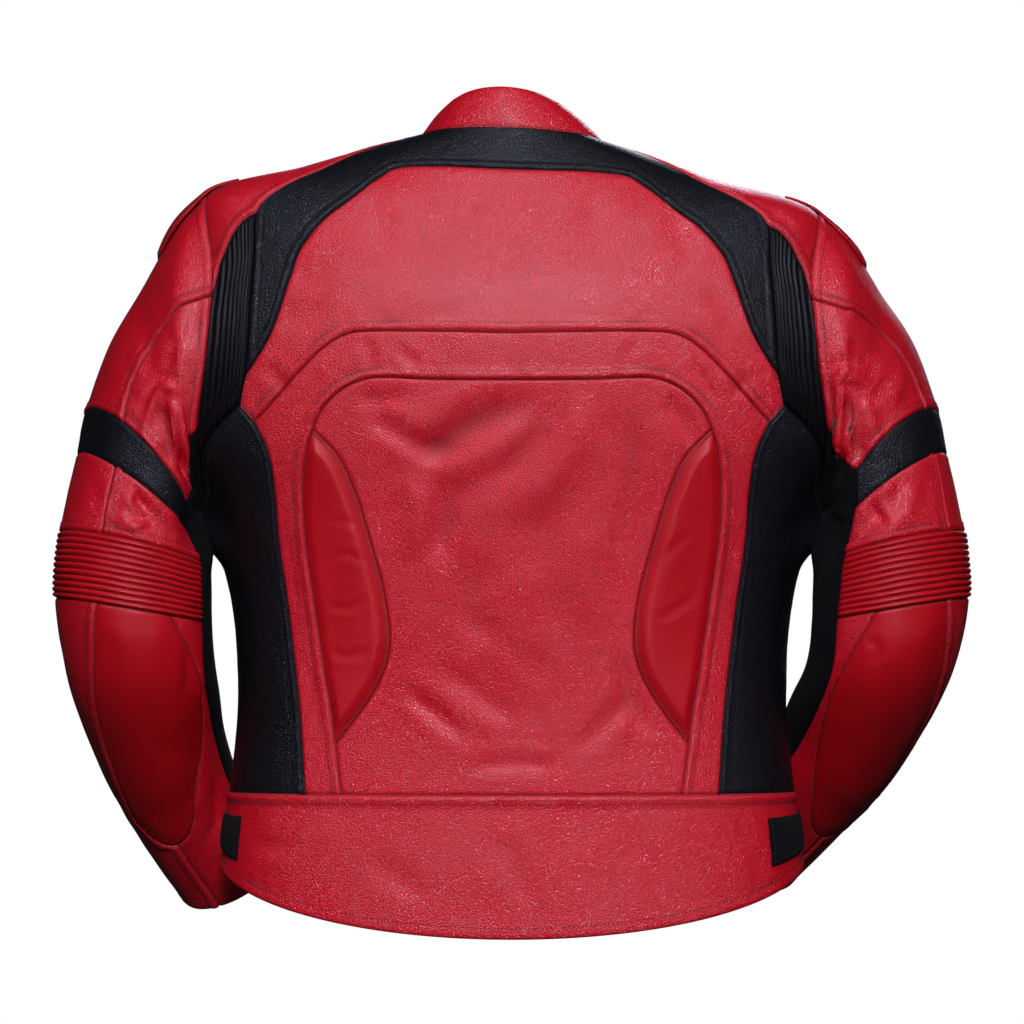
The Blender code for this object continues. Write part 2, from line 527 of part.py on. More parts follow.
def trunk_seams():
    """Every seam of the right half in loft coordinates, with the points both its panels share."""
    find = partial(located, TRUNK)
    seams = {}
    yoke_low = find(YOKE_SEAM, (52, 6.8))
    yoke_low[-1, 0] = 0
    seams["yoke_tail"], seams["yoke_back"] = parts_of(
        TRUNK, yoke_low, (YOKE_TAIL_END,), (TAIL_STEPS, TAIL_CENTRE_STEPS))
    blade_inner = find(NOTCH_SEAM[:1] + RIB_INNER_SEAM, (50, 6.5))
    seams["notch"] = np.stack([blade_inner[0], (blade_inner[0] + yoke_low[0]) / 2, yoke_low[0]])
    blade_inner[1] = yoke_low[0]
    seams["rib_inner"] = even(TRUNK, blade_inner[1:], BLADE_EDGE_STEPS)
    side_armhole = armhole_arc(ARMHOLE_SIDE)
    blade_armhole = armhole_arc(ARMHOLE_BLADE)
    rib_top = find(RIB_TOP_SEAM, seams["rib_inner"][-1])
    rib_top = np.vstack([seams["rib_inner"][-1:], rib_top[1:], blade_armhole[-1:]])
    seams["rib_top"] = even(TRUNK, rib_top, RIB_COUNT_BACK)
    neck_back = np.array([NECK_SHOULDER_ANGLE, NECK])
    shoulder = np.vstack([seams["rib_inner"][-1:], SHOULDER_SEAM, neck_back[None]])
    seams["shoulder"] = even(TRUNK, shoulder, SHOULDER_STEPS)
    seams["neck_back"] = straight(neck_back, (0, NECK), NECK_BACK_STEPS)
    seams["neck_side"] = straight(neck_back, (NECK_FRONT_ANGLE, NECK), NECK_SIDE_STEPS)
    seams["neck_front"] = straight((NECK_FRONT_ANGLE, NECK), zip_edge(NECK), NECK_FRONT_STEPS)
    front = np.array([armhole(ARMHOLE_TOP[-1]), (NECK_FRONT_ANGLE, NECK)])
    seams["shoulder_front"] = even(TRUNK, front, RIB_COUNT_BACK + SHOULDER_STEPS)
    seams["shoulder_front_coarse"] = even(TRUNK, front, SHOULDER_STEPS)
    arch_out = find(UPPER_ARCH_SEAM, (52, 6.1))
    arch_out[-1, 0] = 0
    seams["upper_arch"] = even(TRUNK, arch_out, TAIL_STEPS + TAIL_CENTRE_STEPS)
    seams["tip"] = straight(arch_out[0], seams["notch"][0], TIP_STEPS)
    side = find(SIDE_SEAM, (45, 2.0))
    side[0, 1], side[-1] = BELT, arch_out[0]
    seams["side"] = even(TRUNK, side, PAD_STEPS + 2)
    rib_bottom = np.array([seams["notch"][0], blade_armhole[0]])
    seams["rib_bottom"] = even(TRUNK, rib_bottom, RIB_COUNT_BACK)
    seams["rib_bottom_coarse"] = seams["rib_bottom"][[0, 3, 6, 8, 9]]
    inner = find(INNER_ARCH_SEAM, (35, 2.0))
    inner[0, 1], inner[-1, 0] = BELT, 0
    seams["leg"], kidney_out, seams["inner_arch"] = parts_of(
        TRUNK, inner, (KIDNEY_FOOT, KIDNEY_HEAD), (LEG_STEPS, PAD_STEPS, BELT_BACK_STEPS))
    seams["kidney_out"] = with_blunt_ends(kidney_out)
    kidney = find(KIDNEY_SEAM, (36, 2.6))
    kidney[0], kidney[-1] = seams["leg"][-1], seams["inner_arch"][0]
    seams["kidney_in"] = with_blunt_ends(even(TRUNK, kidney, PAD_STEPS))
    seams["belt_side"] = straight(seams["side"][0], (FRONT_SEAM_ANGLE, BELT), BELT_SIDE_STEPS)
    seams["belt_arch"] = straight(seams["leg"][0], seams["side"][0], BELT_ARCH_STEPS)
    seams["belt_back"] = straight(seams["leg"][0], (0, BELT), BELT_BACK_STEPS)
    seams["belt_front"] = straight((FRONT_SEAM_ANGLE, BELT), zip_edge(BELT), BELT_FRONT_STEPS)
    seams["flank"] = even(TRUNK, np.array([(FRONT_SEAM_ANGLE, BELT), armhole(270.0)]), PAD_STEPS + 4)
    seams["armhole_side"], seams["armhole_blade"] = side_armhole, blade_armhole
    seams["armhole_top"] = armhole_arc(ARMHOLE_TOP)
    seams["armhole_front"] = armhole_arc(ARMHOLE_FRONT)
    return seams


def ribs(count, steps, length, height):
    """Heights of a row of ribs with a few points each, flat along all four edges."""
    crest = np.array([0.0 if k % steps == 0 else 1.0 for k in range(count * steps + 1)])
    heights = np.outer(np.ones(length), crest)
    heights[0] = heights[-1] = 0
    return heights * height


def dome(rows, columns, height):
    """Heights of a soft pad, highest in its middle."""
    across = 1 - np.linspace(-1, 1, columns) ** 2
    along = 1 - np.linspace(-1, 1, rows) ** 4
    return np.outer(along, across) * height


def build_back(seams):
    tail_to_centre = joined(seams["yoke_tail"], seams["yoke_back"])
    top = joined(seams["shoulder"], seams["neck_back"])
    edge = seams["rib_inner"]
    grid = patch(full_width(tail_to_centre), edge, full_width(top), mirrored(edge))
    wall("yoke", TRUNK, grid, "black")
    arch = seams["upper_arch"]
    edge = joined(seams["tip"], seams["notch"])
    grid = patch(full_width(arch), edge, full_width(tail_to_centre), mirrored(edge))
    wall("upper_back", TRUNK, grid, "red")
    inner = joined(seams["leg"], seams["kidney_out"], seams["inner_arch"])
    outer = joined(seams["side"], arch)
    grid = patch(full_width(inner), seams["belt_arch"], full_width(outer), mirrored(seams["belt_arch"]))
    wall("back_arch", TRUNK, grid, "red")
    edge = joined(seams["leg"], seams["kidney_in"])
    grid = patch(full_width(seams["belt_back"]), edge, full_width(seams["inner_arch"]), mirrored(edge))
    wall("centre_back", TRUNK, grid, "red")
    hem = full_width(joined(seams["belt_side"][::-1], seams["belt_arch"][::-1], seams["belt_back"]))
    wall("hem_back", TRUNK, rows_below(hem), "red")


def rows_below(belt):
    """The hem's rows under a stretch of the belt seam."""
    return np.stack([np.stack([belt[:, 0], np.full(len(belt), row)], axis=-1) for row in HEM_ROWS])


def build_trunk_side(seams, side, tag):
    pad_out, pad_in = seams["kidney_out"][1:-1], seams["kidney_in"][1:-1]
    grid = np.stack([pad_in, (pad_in * 2 + pad_out) / 3, (pad_in + pad_out * 2) / 3, pad_out])
    wall(f"kidney_pad_{tag}", TRUNK, grid, "red_smooth", side, raised=dome(len(pad_out), 4, KIDNEY_RISE).T)
    left = joined(seams["side"], seams["tip"])
    top = joined(seams["rib_bottom_coarse"], seams["armhole_side"])
    wall(f"side_panel_{tag}", TRUNK, patch(seams["belt_side"], seams["flank"], top, left), "black", side)
    left = joined(seams["notch"], seams["rib_inner"])
    grid = patch(refined(seams["rib_bottom"], 2), seams["armhole_blade"], refined(seams["rib_top"], 2), left)
    wall(f"blade_accordion_{tag}", TRUNK, grid, "black", side,
         raised=ribs(RIB_COUNT_BACK, 2, len(left), RIB_HEIGHT))
    left = joined(seams["rib_top"][::-1], seams["shoulder"])
    grid = patch(seams["armhole_top"], seams["shoulder_front"], seams["neck_side"], left)
    wall(f"shoulder_panel_{tag}", TRUNK, grid, "red", side)
    left = joined(seams["flank"], seams["armhole_front"], seams["shoulder_front_coarse"])
    centre = zip_edge(left[:, 1])
    wall(f"front_panel_{tag}", TRUNK, patch(seams["belt_front"], centre, seams["neck_front"], left), "red",
         side)
    hem = rows_below(seams["belt_front"])
    hem[:, -1] = zip_edge(np.array(HEM_ROWS))
    wall(f"hem_front_{tag}", TRUNK, hem, "red", side)
    first = TAB_START[side]
    tab = joined(seams["belt_side"][first:], seams["belt_front"][:TAB_END])
    wall(f"hem_tab_{tag}", TRUNK, rows_below(tab)[TAB_ROWS], "hook", side, HEM_TAB_THICKNESS, clear=SEAM_GAP,
         seamed=False)
    rows = np.concatenate([HEM_ROWS[:-1], left[:, 1]])
    tape = np.stack([zip_edge(rows), np.stack([0 * rows + 180, rows], axis=-1)], axis=1)
    wall(f"zip_tape_{tag}", TRUNK, tape, "hook", side, TAPE_THICKNESS)


def build_collar(seams):
    half = joined(seams["neck_front"][::-1], seams["neck_side"][::-1], seams["neck_back"])
    stations = np.vstack([[(180, NECK)], half])
    angles = full_width(stations)[::-1, 0]
    rows = np.linspace(0, COLLAR_RIM, COLLAR_STEPS + 1)
    grid = np.stack([np.stack([angles, np.full(len(angles), row)], axis=-1) for row in rows])
    wall("collar", COLLAR, grid, "red", 1, PADDED)


# ---------------------------------------------------------------- sleeves

def angle_lines(row):
    """The angles of a sleeve's long seams at a row: stretch panel's back edge and the outer seam."""
    columns = np.array(SLEEVE_SEAMS, float)
    return [np.interp(row, columns[:, 0], columns[:, k]) for k in (1, 2)]


def under_angles(row):
    """Stations from the stretch panel to the outer seam; the second is the elbow panel's inner seam."""
    low, high = angle_lines(row)
    return low + (high - low) * np.array(UNDER_SHARES)


def outer_angles(row):
    _, high = angle_lines(row)
    return np.linspace(high, STRETCH_FRONT, OUTER_STEPS + 1)


def ring_points(angles, row):
    return np.stack([np.asarray(angles, float), np.full(len(angles), float(row))], axis=-1)


def sleeve_wall(name, side, grid, colour, raised=0.0):
    """A wall of a sleeve whose seams are turned as the arm is."""
    twist = np.array(SLEEVE_TWIST, float).T
    grid = grid.copy()
    grid[..., 0] += side * np.interp(grid[..., 1], *twist)
    wall(name, SLEEVES[side], grid, colour, side, raised=raised)


def build_sleeve(side, tag):
    upper = np.array(UPPER_ROWS)
    outer_seam = located(SLEEVES[-1], CAP_SEAM, (40, 0.3))
    outer_seam[0] = (ARMHOLE_TOP[0], 0)
    outer_seam[-1] = (angle_lines(BAND_TOP)[1], BAND_TOP)
    outer_seam = even(SLEEVES[-1], outer_seam, len(upper) - 1)
    stretch_back = np.stack([angle_lines(upper)[0], upper], axis=-1)
    front = np.stack([0 * upper + STRETCH_FRONT, upper], axis=-1)
    top = ring_points(ARMHOLE_UNDER, 0)
    band_top = ring_points(under_angles(BAND_TOP), BAND_TOP)
    sleeve_wall(f"sleeve_under_{tag}", side, patch(top, outer_seam, band_top, stretch_back), "red")
    top = ring_points(ARMHOLE_TOP + ARMHOLE_FRONT[::-1][1:-1], 0)
    band_top = ring_points(outer_angles(BAND_TOP), BAND_TOP)
    sleeve_wall(f"sleeve_cap_{tag}", side, patch(top, front, band_top, outer_seam), "red")
    band = np.stack([ring_points(np.append(under_angles(row), outer_angles(row)[1:]), row)
                     for row in np.linspace(BAND_TOP, BAND_BOTTOM, BAND_STEPS + 1)])
    sleeve_wall(f"arm_band_{tag}", side, band, "black")
    rows = np.linspace(BAND_BOTTOM, RIBS_TOP, ELBOW_STEPS + 1)
    grid = np.stack([ring_points(under_angles(r), r) for r in rows])
    sleeve_wall(f"upper_elbow_back_{tag}", side, grid, "red")
    grid = np.stack([ring_points(outer_angles(r), r) for r in rows])
    sleeve_wall(f"upper_elbow_front_{tag}", side, grid, "red")
    rows = np.linspace(RIBS_TOP, RIBS_BOTTOM, 2 * RIB_COUNT_SLEEVE + 1)
    grid = np.stack([ring_points(np.append(under_angles(r), outer_angles(r)[1:ACCORDION_END + 1]), r)
                     for r in rows])
    raised = ribs(RIB_COUNT_SLEEVE, 2, grid.shape[1], RIB_HEIGHT).T
    sleeve_wall(f"elbow_accordion_{tag}", side, grid, "red", raised)
    rows = np.linspace(RIBS_TOP, RIBS_BOTTOM, BEND_STEPS + 1)
    grid = np.stack([ring_points(outer_angles(r)[ACCORDION_END:], r) for r in rows])
    sleeve_wall(f"elbow_bend_{tag}", side, grid, "red")
    build_forearm(side, tag)


def build_forearm(side, tag):
    rows = np.linspace(RIBS_BOTTOM, ELBOW_PANEL_END, PANEL_STEPS + 1)
    inner_seam = np.array([(under_angles(RIBS_BOTTOM)[2], RIBS_BOTTOM)]
                          + [(angle, row) for row, angle in ELBOW_INNER_SEAM])
    outer_seam = np.array([(under_angles(r)[-1], r) for r in rows])
    inner_foot = np.stack([inner_seam[-1], *ELBOW_FOOT[:2]])
    outer_foot = np.stack([*ELBOW_FOOT[1:], outer_seam[-1]])
    bottom = joined(inner_foot, outer_foot)
    top = ring_points(under_angles(RIBS_BOTTOM)[2:], RIBS_BOTTOM)
    raised = dome(PANEL_STEPS + 1, len(top), ELBOW_RISE)
    grid = patch(top, outer_seam, bottom, inner_seam)
    sleeve_wall(f"elbow_panel_{tag}", side, grid, "red_smooth", raised)
    cuff = np.array([(ELBOW_FOOT[1][0], CUFF)])
    seam = np.vstack([inner_seam, inner_foot[1:], cuff])
    edge_rows = np.linspace(RIBS_BOTTOM, CUFF, FOREARM_STEPS + 1)
    edge = np.array([(angle_lines(r)[0], r) for r in edge_rows])
    top = ring_points(under_angles(RIBS_BOTTOM)[:3], RIBS_BOTTOM)
    sleeve_wall(f"forearm_inner_{tag}", side, patch(top, seam, straight(edge[-1], cuff[0], 2), edge), "red")
    seam = np.vstack([outer_seam, outer_foot[::-1][1:], cuff])
    edge = ring_edge(STRETCH_FRONT, edge_rows)
    top = ring_points(outer_angles(RIBS_BOTTOM), RIBS_BOTTOM)
    bottom = straight(cuff[0], edge[-1], OUTER_STEPS)
    sleeve_wall(f"forearm_outer_{tag}", side, patch(top, edge, bottom, seam), "red")
    rows = joined(np.array(UPPER_ROWS), np.linspace(BAND_TOP, BAND_BOTTOM, BAND_STEPS + 1),
                  np.linspace(BAND_BOTTOM, RIBS_TOP, ELBOW_STEPS + 1),
                  np.linspace(RIBS_TOP, RIBS_BOTTOM, BEND_STEPS + 1), edge_rows)
    back = np.array([(angle_lines(r)[0] + 360, r) for r in rows])
    top = ring_points(ARMHOLE_STRETCH, 0)
    bottom = straight((STRETCH_FRONT, CUFF), back[-1], STRETCH_STEPS)
    front = ring_edge(STRETCH_FRONT, rows)
    sleeve_wall(f"stretch_panel_{tag}", side, patch(top, back, bottom, front), "stretch")


def ring_edge(angle, rows):
    return np.stack([np.full(len(rows), angle), rows], axis=-1)


# ---------------------------------------------------------------- hard pieces

def guard_points(grid, side):
    """The shell over the shoulder point: rows below 0 lie on the trunk, rows above it on the sleeve."""
    angle, row = grid[..., 0], grid[..., 1]
    above = trunk(armhole(angle) - np.stack([0 * row, GUARD_TRUNK_ROWS * np.minimum(row, 0)], axis=-1))
    below = sleeve(np.stack([angle, np.maximum(row, 0)], axis=-1), side)
    return np.where((row < 0)[..., None], above, below)


def build_guard(side, tag):
    rows = np.array(GUARD_ROWS)
    along = (rows - rows[0]) / (rows[-1] - rows[0]) * 2 - 1
    columns = np.linspace(-1, 1, GUARD_COLUMNS)
    half_width = GUARD_HALF_ANGLE * np.sqrt(1 - GUARD_ROUNDING * along ** 2)
    angles = GUARD_CENTRE + half_width[:, None] * columns
    grid = np.stack([angles, rows[:, None] + 0 * angles], axis=-1)
    height = np.outer(1 - along ** 4, 1 - columns ** 4) * GUARD_RISE
    loft = Loft(partial(guard_points, side=side), downward=True)
    wall(f"shoulder_guard_{tag}", loft, grid, "guard", side, GUARD_THICKNESS, height, GUARD_CLEAR,
         seamed=False)


def zip_frame():
    """The place on the zip where its slider stands, and how far the front leans back there."""
    at = np.array([180.0, SLIDER_ROW])
    lean = math.atan2(*TRUNK.normals(at)[[2, 1]])
    return trunk(at), lean


def move_to(collection, piece):
    for holder in piece.users_collection:
        holder.objects.unlink(piece)
    collection.objects.link(piece)


def combine(piece, other, operation):
    """Add a Boolean of another shape, which is kept as a hidden cutter."""
    boolean = piece.modifiers.new(other.name, "BOOLEAN")
    boolean.operation = operation
    boolean.object = other
    boolean.solver = "EXACT"
    other.hide_render = True
    other.display_type = "WIRE"
    move_to(CUTTERS, other)


def joined_solids(pieces, name, colour):
    """Several closed shapes made one, in the place of the first of them."""
    first, *others = pieces
    for other in others:
        combine(first, other, "UNION")
    first.name = name
    first.data.materials.append(new_material(f"{name}_{colour}", COLOURS[colour]))
    move_to(JACKET, first)
    return first


def block(name, size, centre, parent):
    bpy.ops.mesh.primitive_cube_add(size=1)
    piece = bpy.context.object
    piece.name = name
    piece.data.transform(Matrix.Translation(centre) @ Matrix.Diagonal((*size, 1)))
    piece.parent = parent
    return piece


def rod(name, radius, length, centre, parent):
    bpy.ops.mesh.primitive_cylinder_add(vertices=16, radius=radius, depth=length)
    piece = bpy.context.object
    piece.name = name
    piece.data.transform(Matrix.Translation(centre) @ Matrix.Rotation(math.pi / 2, 4, "Y"))
    piece.parent = parent
    return piece


def build_zip_slider():
    place, lean = zip_frame()
    stand = bpy.data.objects.new("zip_slider_place", None)
    JACKET.objects.link(stand)
    stand.location = place
    stand.rotation_euler = (lean, 0, 0)
    foot = SLIDER_CLEAR
    body = block("slider_body", (SLIDER_WIDTH, SLIDER_DEPTH, SLIDER_LENGTH),
                 (0, foot + SLIDER_DEPTH / 2, 0), stand)
    soft = body.modifiers.new("edges", "BEVEL")
    soft.width, soft.segments = SLIDER_DEPTH / 4, 2
    pivot = foot + SLIDER_DEPTH + EYE_RADIUS + SLIDER_CLEAR
    lug_height = pivot + LUG_RADIUS - foot - SLIDER_DEPTH / 2
    pieces = [body]
    for end in (-1, 1):
        pieces.append(block(f"slider_lug_{end}", (LUG_THICKNESS, lug_height, 2 * LUG_RADIUS),
                            (end * LUG_OFFSET, foot + SLIDER_DEPTH / 2 + lug_height / 2, 0), stand))
    pieces.append(rod("slider_pin", PIN_RADIUS, 2 * LUG_OFFSET + LUG_THICKNESS / 2, (0, pivot, 0), stand))
    joined_solids(pieces, "zip_slider", "metal")
    build_pull_tab(stand, pivot)


def build_pull_tab(stand, pivot):
    """The tab hangs on the slider's pin: an eye with a plate, its origin on the pin's axis."""
    hinge = bpy.data.objects.new("pull_tab_hinge", None)
    JACKET.objects.link(hinge)
    hinge.parent = stand
    hinge.location = (0, pivot, 0)
    eye = rod("pull_tab_eye", EYE_RADIUS, TAB_WIDTH, (0, 0, 0), hinge)
    plate = block("pull_tab_plate", (TAB_WIDTH, TAB_PLATE, TAB_LENGTH),
                  (0, 0, -TAB_LENGTH / 2 - EYE_HOLE), hinge)
    hole = rod("pull_tab_hole", EYE_HOLE, 2 * TAB_WIDTH, (0, 0, 0), hinge)
    tab = joined_solids([eye, plate], "zip_pull_tab", "metal")
    combine(tab, hole, "DIFFERENCE")


# ---------------------------------------------------------------- build

for old in list(bpy.data.objects):
    bpy.data.objects.remove(old)
JACKET = bpy.data.collections.new("motorcycle_jacket")
CUTTERS = bpy.data.collections.new("cutters")
for group in (JACKET, CUTTERS):
    bpy.context.scene.collection.children.link(group)

SEAMS = trunk_seams()
build_back(SEAMS)
build_collar(SEAMS)
for SIDE, TAG in ((-1, "left"), (1, "right")):
    build_trunk_side(SEAMS, SIDE, TAG)
    build_sleeve(SIDE, TAG)
    build_guard(SIDE, TAG)
build_zip_slider()
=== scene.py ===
"""Looks of the leather motorcycle jacket: every panel as a fine wall with its seams, folds and grain.

Metres, +Z up, +X to the wearer's right, +Y to the wearer's front. Tables are in millimetres.
"""
from __future__ import annotations

import json
import logging
import math
from dataclasses import astuple, dataclass, field
from enum import Enum
from functools import cached_property
from typing import Any, Callable, Iterable, Sequence

import bmesh
import bpy
import numpy as np
from mathutils import Matrix, Vector

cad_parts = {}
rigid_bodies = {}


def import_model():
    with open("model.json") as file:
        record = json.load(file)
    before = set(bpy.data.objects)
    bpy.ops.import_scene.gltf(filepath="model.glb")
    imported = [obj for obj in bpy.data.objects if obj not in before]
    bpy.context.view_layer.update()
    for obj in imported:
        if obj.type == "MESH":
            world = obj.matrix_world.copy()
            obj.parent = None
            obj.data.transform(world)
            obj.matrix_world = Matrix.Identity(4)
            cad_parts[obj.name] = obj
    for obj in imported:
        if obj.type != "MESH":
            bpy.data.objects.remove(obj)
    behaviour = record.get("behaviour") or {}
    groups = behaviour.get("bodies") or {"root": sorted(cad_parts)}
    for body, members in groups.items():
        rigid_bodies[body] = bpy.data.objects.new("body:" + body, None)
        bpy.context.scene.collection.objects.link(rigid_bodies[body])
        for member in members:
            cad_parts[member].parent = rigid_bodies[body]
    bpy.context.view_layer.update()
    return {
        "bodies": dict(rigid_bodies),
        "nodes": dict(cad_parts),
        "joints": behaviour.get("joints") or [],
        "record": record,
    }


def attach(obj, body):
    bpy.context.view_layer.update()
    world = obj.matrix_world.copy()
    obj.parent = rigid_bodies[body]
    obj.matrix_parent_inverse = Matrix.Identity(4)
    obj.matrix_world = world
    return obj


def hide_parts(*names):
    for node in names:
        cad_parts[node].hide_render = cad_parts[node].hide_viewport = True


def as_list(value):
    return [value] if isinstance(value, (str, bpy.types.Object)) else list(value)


log = logging.getLogger("jacket")
Array = np.ndarray
Places = Sequence[tuple[float, float]]

MM = 0.001
JACKET = "jacket"
LEATHER = 2.0 * MM
NARROWEST_CUT = 10.1 * MM
PLATE_SPACING = 2.8 * MM

# The jacket hangs a little askew: heights and amounts in metres.
SHOULDER_TILT = 0.035
TILT_START, TILT_FULL = -0.160, 0.0
COLLAR_LEAN, COLLAR_FOOT, COLLAR_HEIGHT = 0.006, 0.012, 0.037

ANGLE_PROBE, ROW_PROBE = np.array([0.4, 0.0]), np.array([0.0, 0.01])
FINE_STEPS = 24


# ---------------------------------------------------------------- tables of the form

@dataclass(frozen=True)
class BodyRing:
    """A ring of the trunk or the collar: heights at side, back and front, half width, depths, centre."""
    name: str
    side_z: float
    back_z: float
    front_z: float
    half_width: float
    back_depth: float
    front_depth: float
    centre_y: float
    squareness: float

    def row(self) -> tuple[float, ...]:
        """The ring's numbers in the order of its fields."""
        return astuple(self)[1:]


@dataclass(frozen=True)
class SleeveRing:
    """A ring of the sleeve seen from the back: its two edges, depth, lean and the right arm's swing."""
    name: str
    outer_x: float
    outer_z: float
    inner_x: float
    inner_z: float
    centre_y: float
    half_depth: float
    lean: float
    swing_x: float
    swing_y: float
    swing_z: float

    def row(self) -> tuple[float, ...]:
        """The ring's numbers in the order of its fields."""
        return astuple(self)[1:]


@dataclass(frozen=True)
class Fold:
    """A broad hollow of a sleeve in loft coordinates; a ridge has a negative depth."""
    angle: float
    row: float
    half_width: float
    half_length: float
    turn: float
    depth: float


TRUNK_RINGS = (
    BodyRing("hem", -572, -628, -566, 233, 104, 100, 0, 0.030),
    BodyRing("drop", -545, -572, -541, 230, 102, 99, 0, 0.030),
    BodyRing("belt", -514, -514, -514, 226, 100, 98, 0, 0.030),
    BodyRing("waist", -440, -440, -440, 219.5, 100, 99, 0, 0.030),
    BodyRing("ribs", -360, -360, -360, 225, 106, 104, 0, 0.030),
    BodyRing("underarm", -288, -288, -288, 247, 113, 110, 0, 0.035),
    BodyRing("chest", -225, -225, -232, 274, 118, 113, 0, 0.045),
    BodyRing("blades", -165, -165, -184, 274, 119, 112, 0, 0.050),
    BodyRing("upper", -100, -112, -140, 260, 113, 108, 1, 0.050),
    BodyRing("shoulder", -45, -66, -108, 244, 101, 101, 3, 0.040),
    BodyRing("ridge_outer", -24, -28, -80, 170, 89, 91, 6, 0.030),
    BodyRing("ridge_inner", -10, 0, -58, 116, 79, 81, 9, 0.020),
    BodyRing("neck", -3, 17.6, -45, 78, 73, 74, 11, 0.010),
)
COLLAR_RINGS = (
    BodyRing("base", -3, 17.6, -45, 78, 73, 74, 11, 0.010),
    BodyRing("middle", 12, 35, -28, 64, 68, 69, 10, 0.010),
    BodyRing("rim", 23, 49.6, -12, 50, 60, 61, 9, 0.010),
)
BELT, BLADES, NECK, COLLAR_RIM = 2.0, 7.0, 12.0, 2.0
COLLAR_SUNK = -0.15
TAB_ROWS = (0.6, 1.6)

SLEEVE_RINGS = (
    SleeveRing("cap_top", 268, -68, 255, -283, 0, 79, 0, 0, 0, 0),
    SleeveRing("cap_middle", 294, -110, 257, -288, 0, 79, -8, 0, 0, 0),
    SleeveRing("biceps", 320, -154, 257, -297, 0, 77, -14, 0, 0, 0),
    SleeveRing("band_top", 340, -208, 254, -308, -2, 74, -16, 0, 0, 0),
    SleeveRing("band_bottom", 348, -243, 249, -319, -5, 71, -11, 0, 0, 0),
    SleeveRing("ribs_top", 361, -306, 241, -334, -9, 67, -7, 0, 0, 0),
    SleeveRing("ribs_bottom", 365, -358, 239, -379, -9, 66, -2, 0, 0, 0),
    SleeveRing("elbow", 359, -404, 237, -411, 0, 63, 5, 2, 0, 0),
    SleeveRing("forearm_top", 350, -444, 234, -436, 19, 59, 13, 9, -5, 0),
    SleeveRing("forearm", 327, -504, 231, -467, 58, 54, 20, 19, -12, -2),
    SleeveRing("wrist", 301, -554, 218, -508, 98, 49, 26, 30, -20, -8),
    SleeveRing("cuff", 267, -606, 188, -560, 136, 44, 28, 40, -24, -14),
)
BAND_TOP, BAND_BOTTOM, RIBS_TOP, RIBS_BOTTOM, CUFF = 4.0, 5.0, 6.0, 7.0, 12.0
SLEEVE_FOLDS = (
    Fold(-28, 3.05, 11, 20, -18, 9.0),
    Fold(-6, 3.10, 9, 19, 20, -5.0),
    Fold(-52, 2.95, 10, 18, -8, -4.0),
    Fold(-4, 5.45, 9, 20, 52, 4.5),
    Fold(6, 5.75, 8, 20, 60, -3.0),
    Fold(150, 5.60, 12, 34, 84, 4.0),
    Fold(165, 6.60, 12, 36, 88, 4.5),
    Fold(205, 3.60, 12, 32, 30, 5.0),
    Fold(60, 2.50, 16, 36, 66, 2.5),
)
SLEEVE_RADIUS, SLEEVE_PITCH = 62.0, 44.0

# Back seams, right half, as x and z of the finished jacket seen from the back.
YOKE_SEAM = ((211, -180), (203, -169), (192, -150), (184, -130), (177, -108), (170, -88), (160, -73),
             (148, -60), (132, -48), (118, -37), (104, -26), (90, -19), (60, -17), (30, -17.4), (0, -17.6))
RIB_INNER_SEAM = ((211, -180), (209.5, -160), (208, -135), (206, -105), (204.5, -80), (203, -56))
NOTCH_TIP = (215.5, -206)
RIB_TOP_SEAM = ((203, -56), (212, -61), (221, -71), (228, -85), (233, -97))
UPPER_ARCH_SEAM = ((204, -219), (189, -202), (168, -178), (150, -160), (132, -149), (110, -146),
                   (60, -146), (0, -147))
INNER_ARCH_SEAM = ((135, -513.9), (140.5, -474), (150.5, -408), (157, -364), (163, -322), (166, -280),
                   (164, -246), (158, -224), (150, -208), (135, -193), (118, -185), (100, -183),
                   (60, -184.5), (0, -185))
KIDNEY_FOOT, KIDNEY_HEAD = 1, 7
KIDNEY_SEAM = ((140.5, -474), (121, -449), (107, -427), (99, -406), (97, -386), (102, -351), (111, -317),
               (124, -275), (138, -245), (158, -224))
SIDE_SEAM = ((164.4, -513.9), (167.6, -468), (172, -420), (177.6, -372), (184.4, -324), (188.4, -276),
             (191.6, -252), (196, -236), (204, -219))
SHOULDER_SEAM = ((50, 9.25), (53, 9.7), (57, 10.15), (61, 10.6), (65, 11.1))
NECK_SHOULDER_ANGLE, NECK_FRONT_ANGLE, FRONT_SEAM_ANGLE = 65.0, 118.0, 93.0
ARMHOLE_HALF_ANGLE, ARMHOLE_HALF_RINGS = 34.0, 2.0
ZIP_HALF_WIDTH = 6.0 * MM
SHOULDER_TIP = 20.0
CAP_SEAM = ((241, -117), (265, -127), (285, -145), (301, -166), (313, -187), (320, -212))
# Row, angle of the stretch panel's back edge, angle of the outer seam.
SLEEVE_SEAMS = ((0.0, -30, 20), (3.0, -36, 40), (4.0, -28, 50), (5.0, -38, 44), (6.0, -50, 38),
                (7.0, -54, 36), (9.0, -51, 52), (10.5, -46, 69), (12.0, -50, 60))
# How far the right arm's seams turn outwards, and the left arm's inwards: row, degrees.
SLEEVE_TWIST = ((0.0, 0), (1.0, 0), (2.0, 4), (3.0, 9), (4.0, 15), (5.0, 15), (6.0, 12), (7.0, 9), (12.0, 8))
STRETCH_FRONT, ACCORDION_SHARE, INNER_SHARE = 250.0, 5 / 12, 0.37
ELBOW_PANEL_END = 10.5
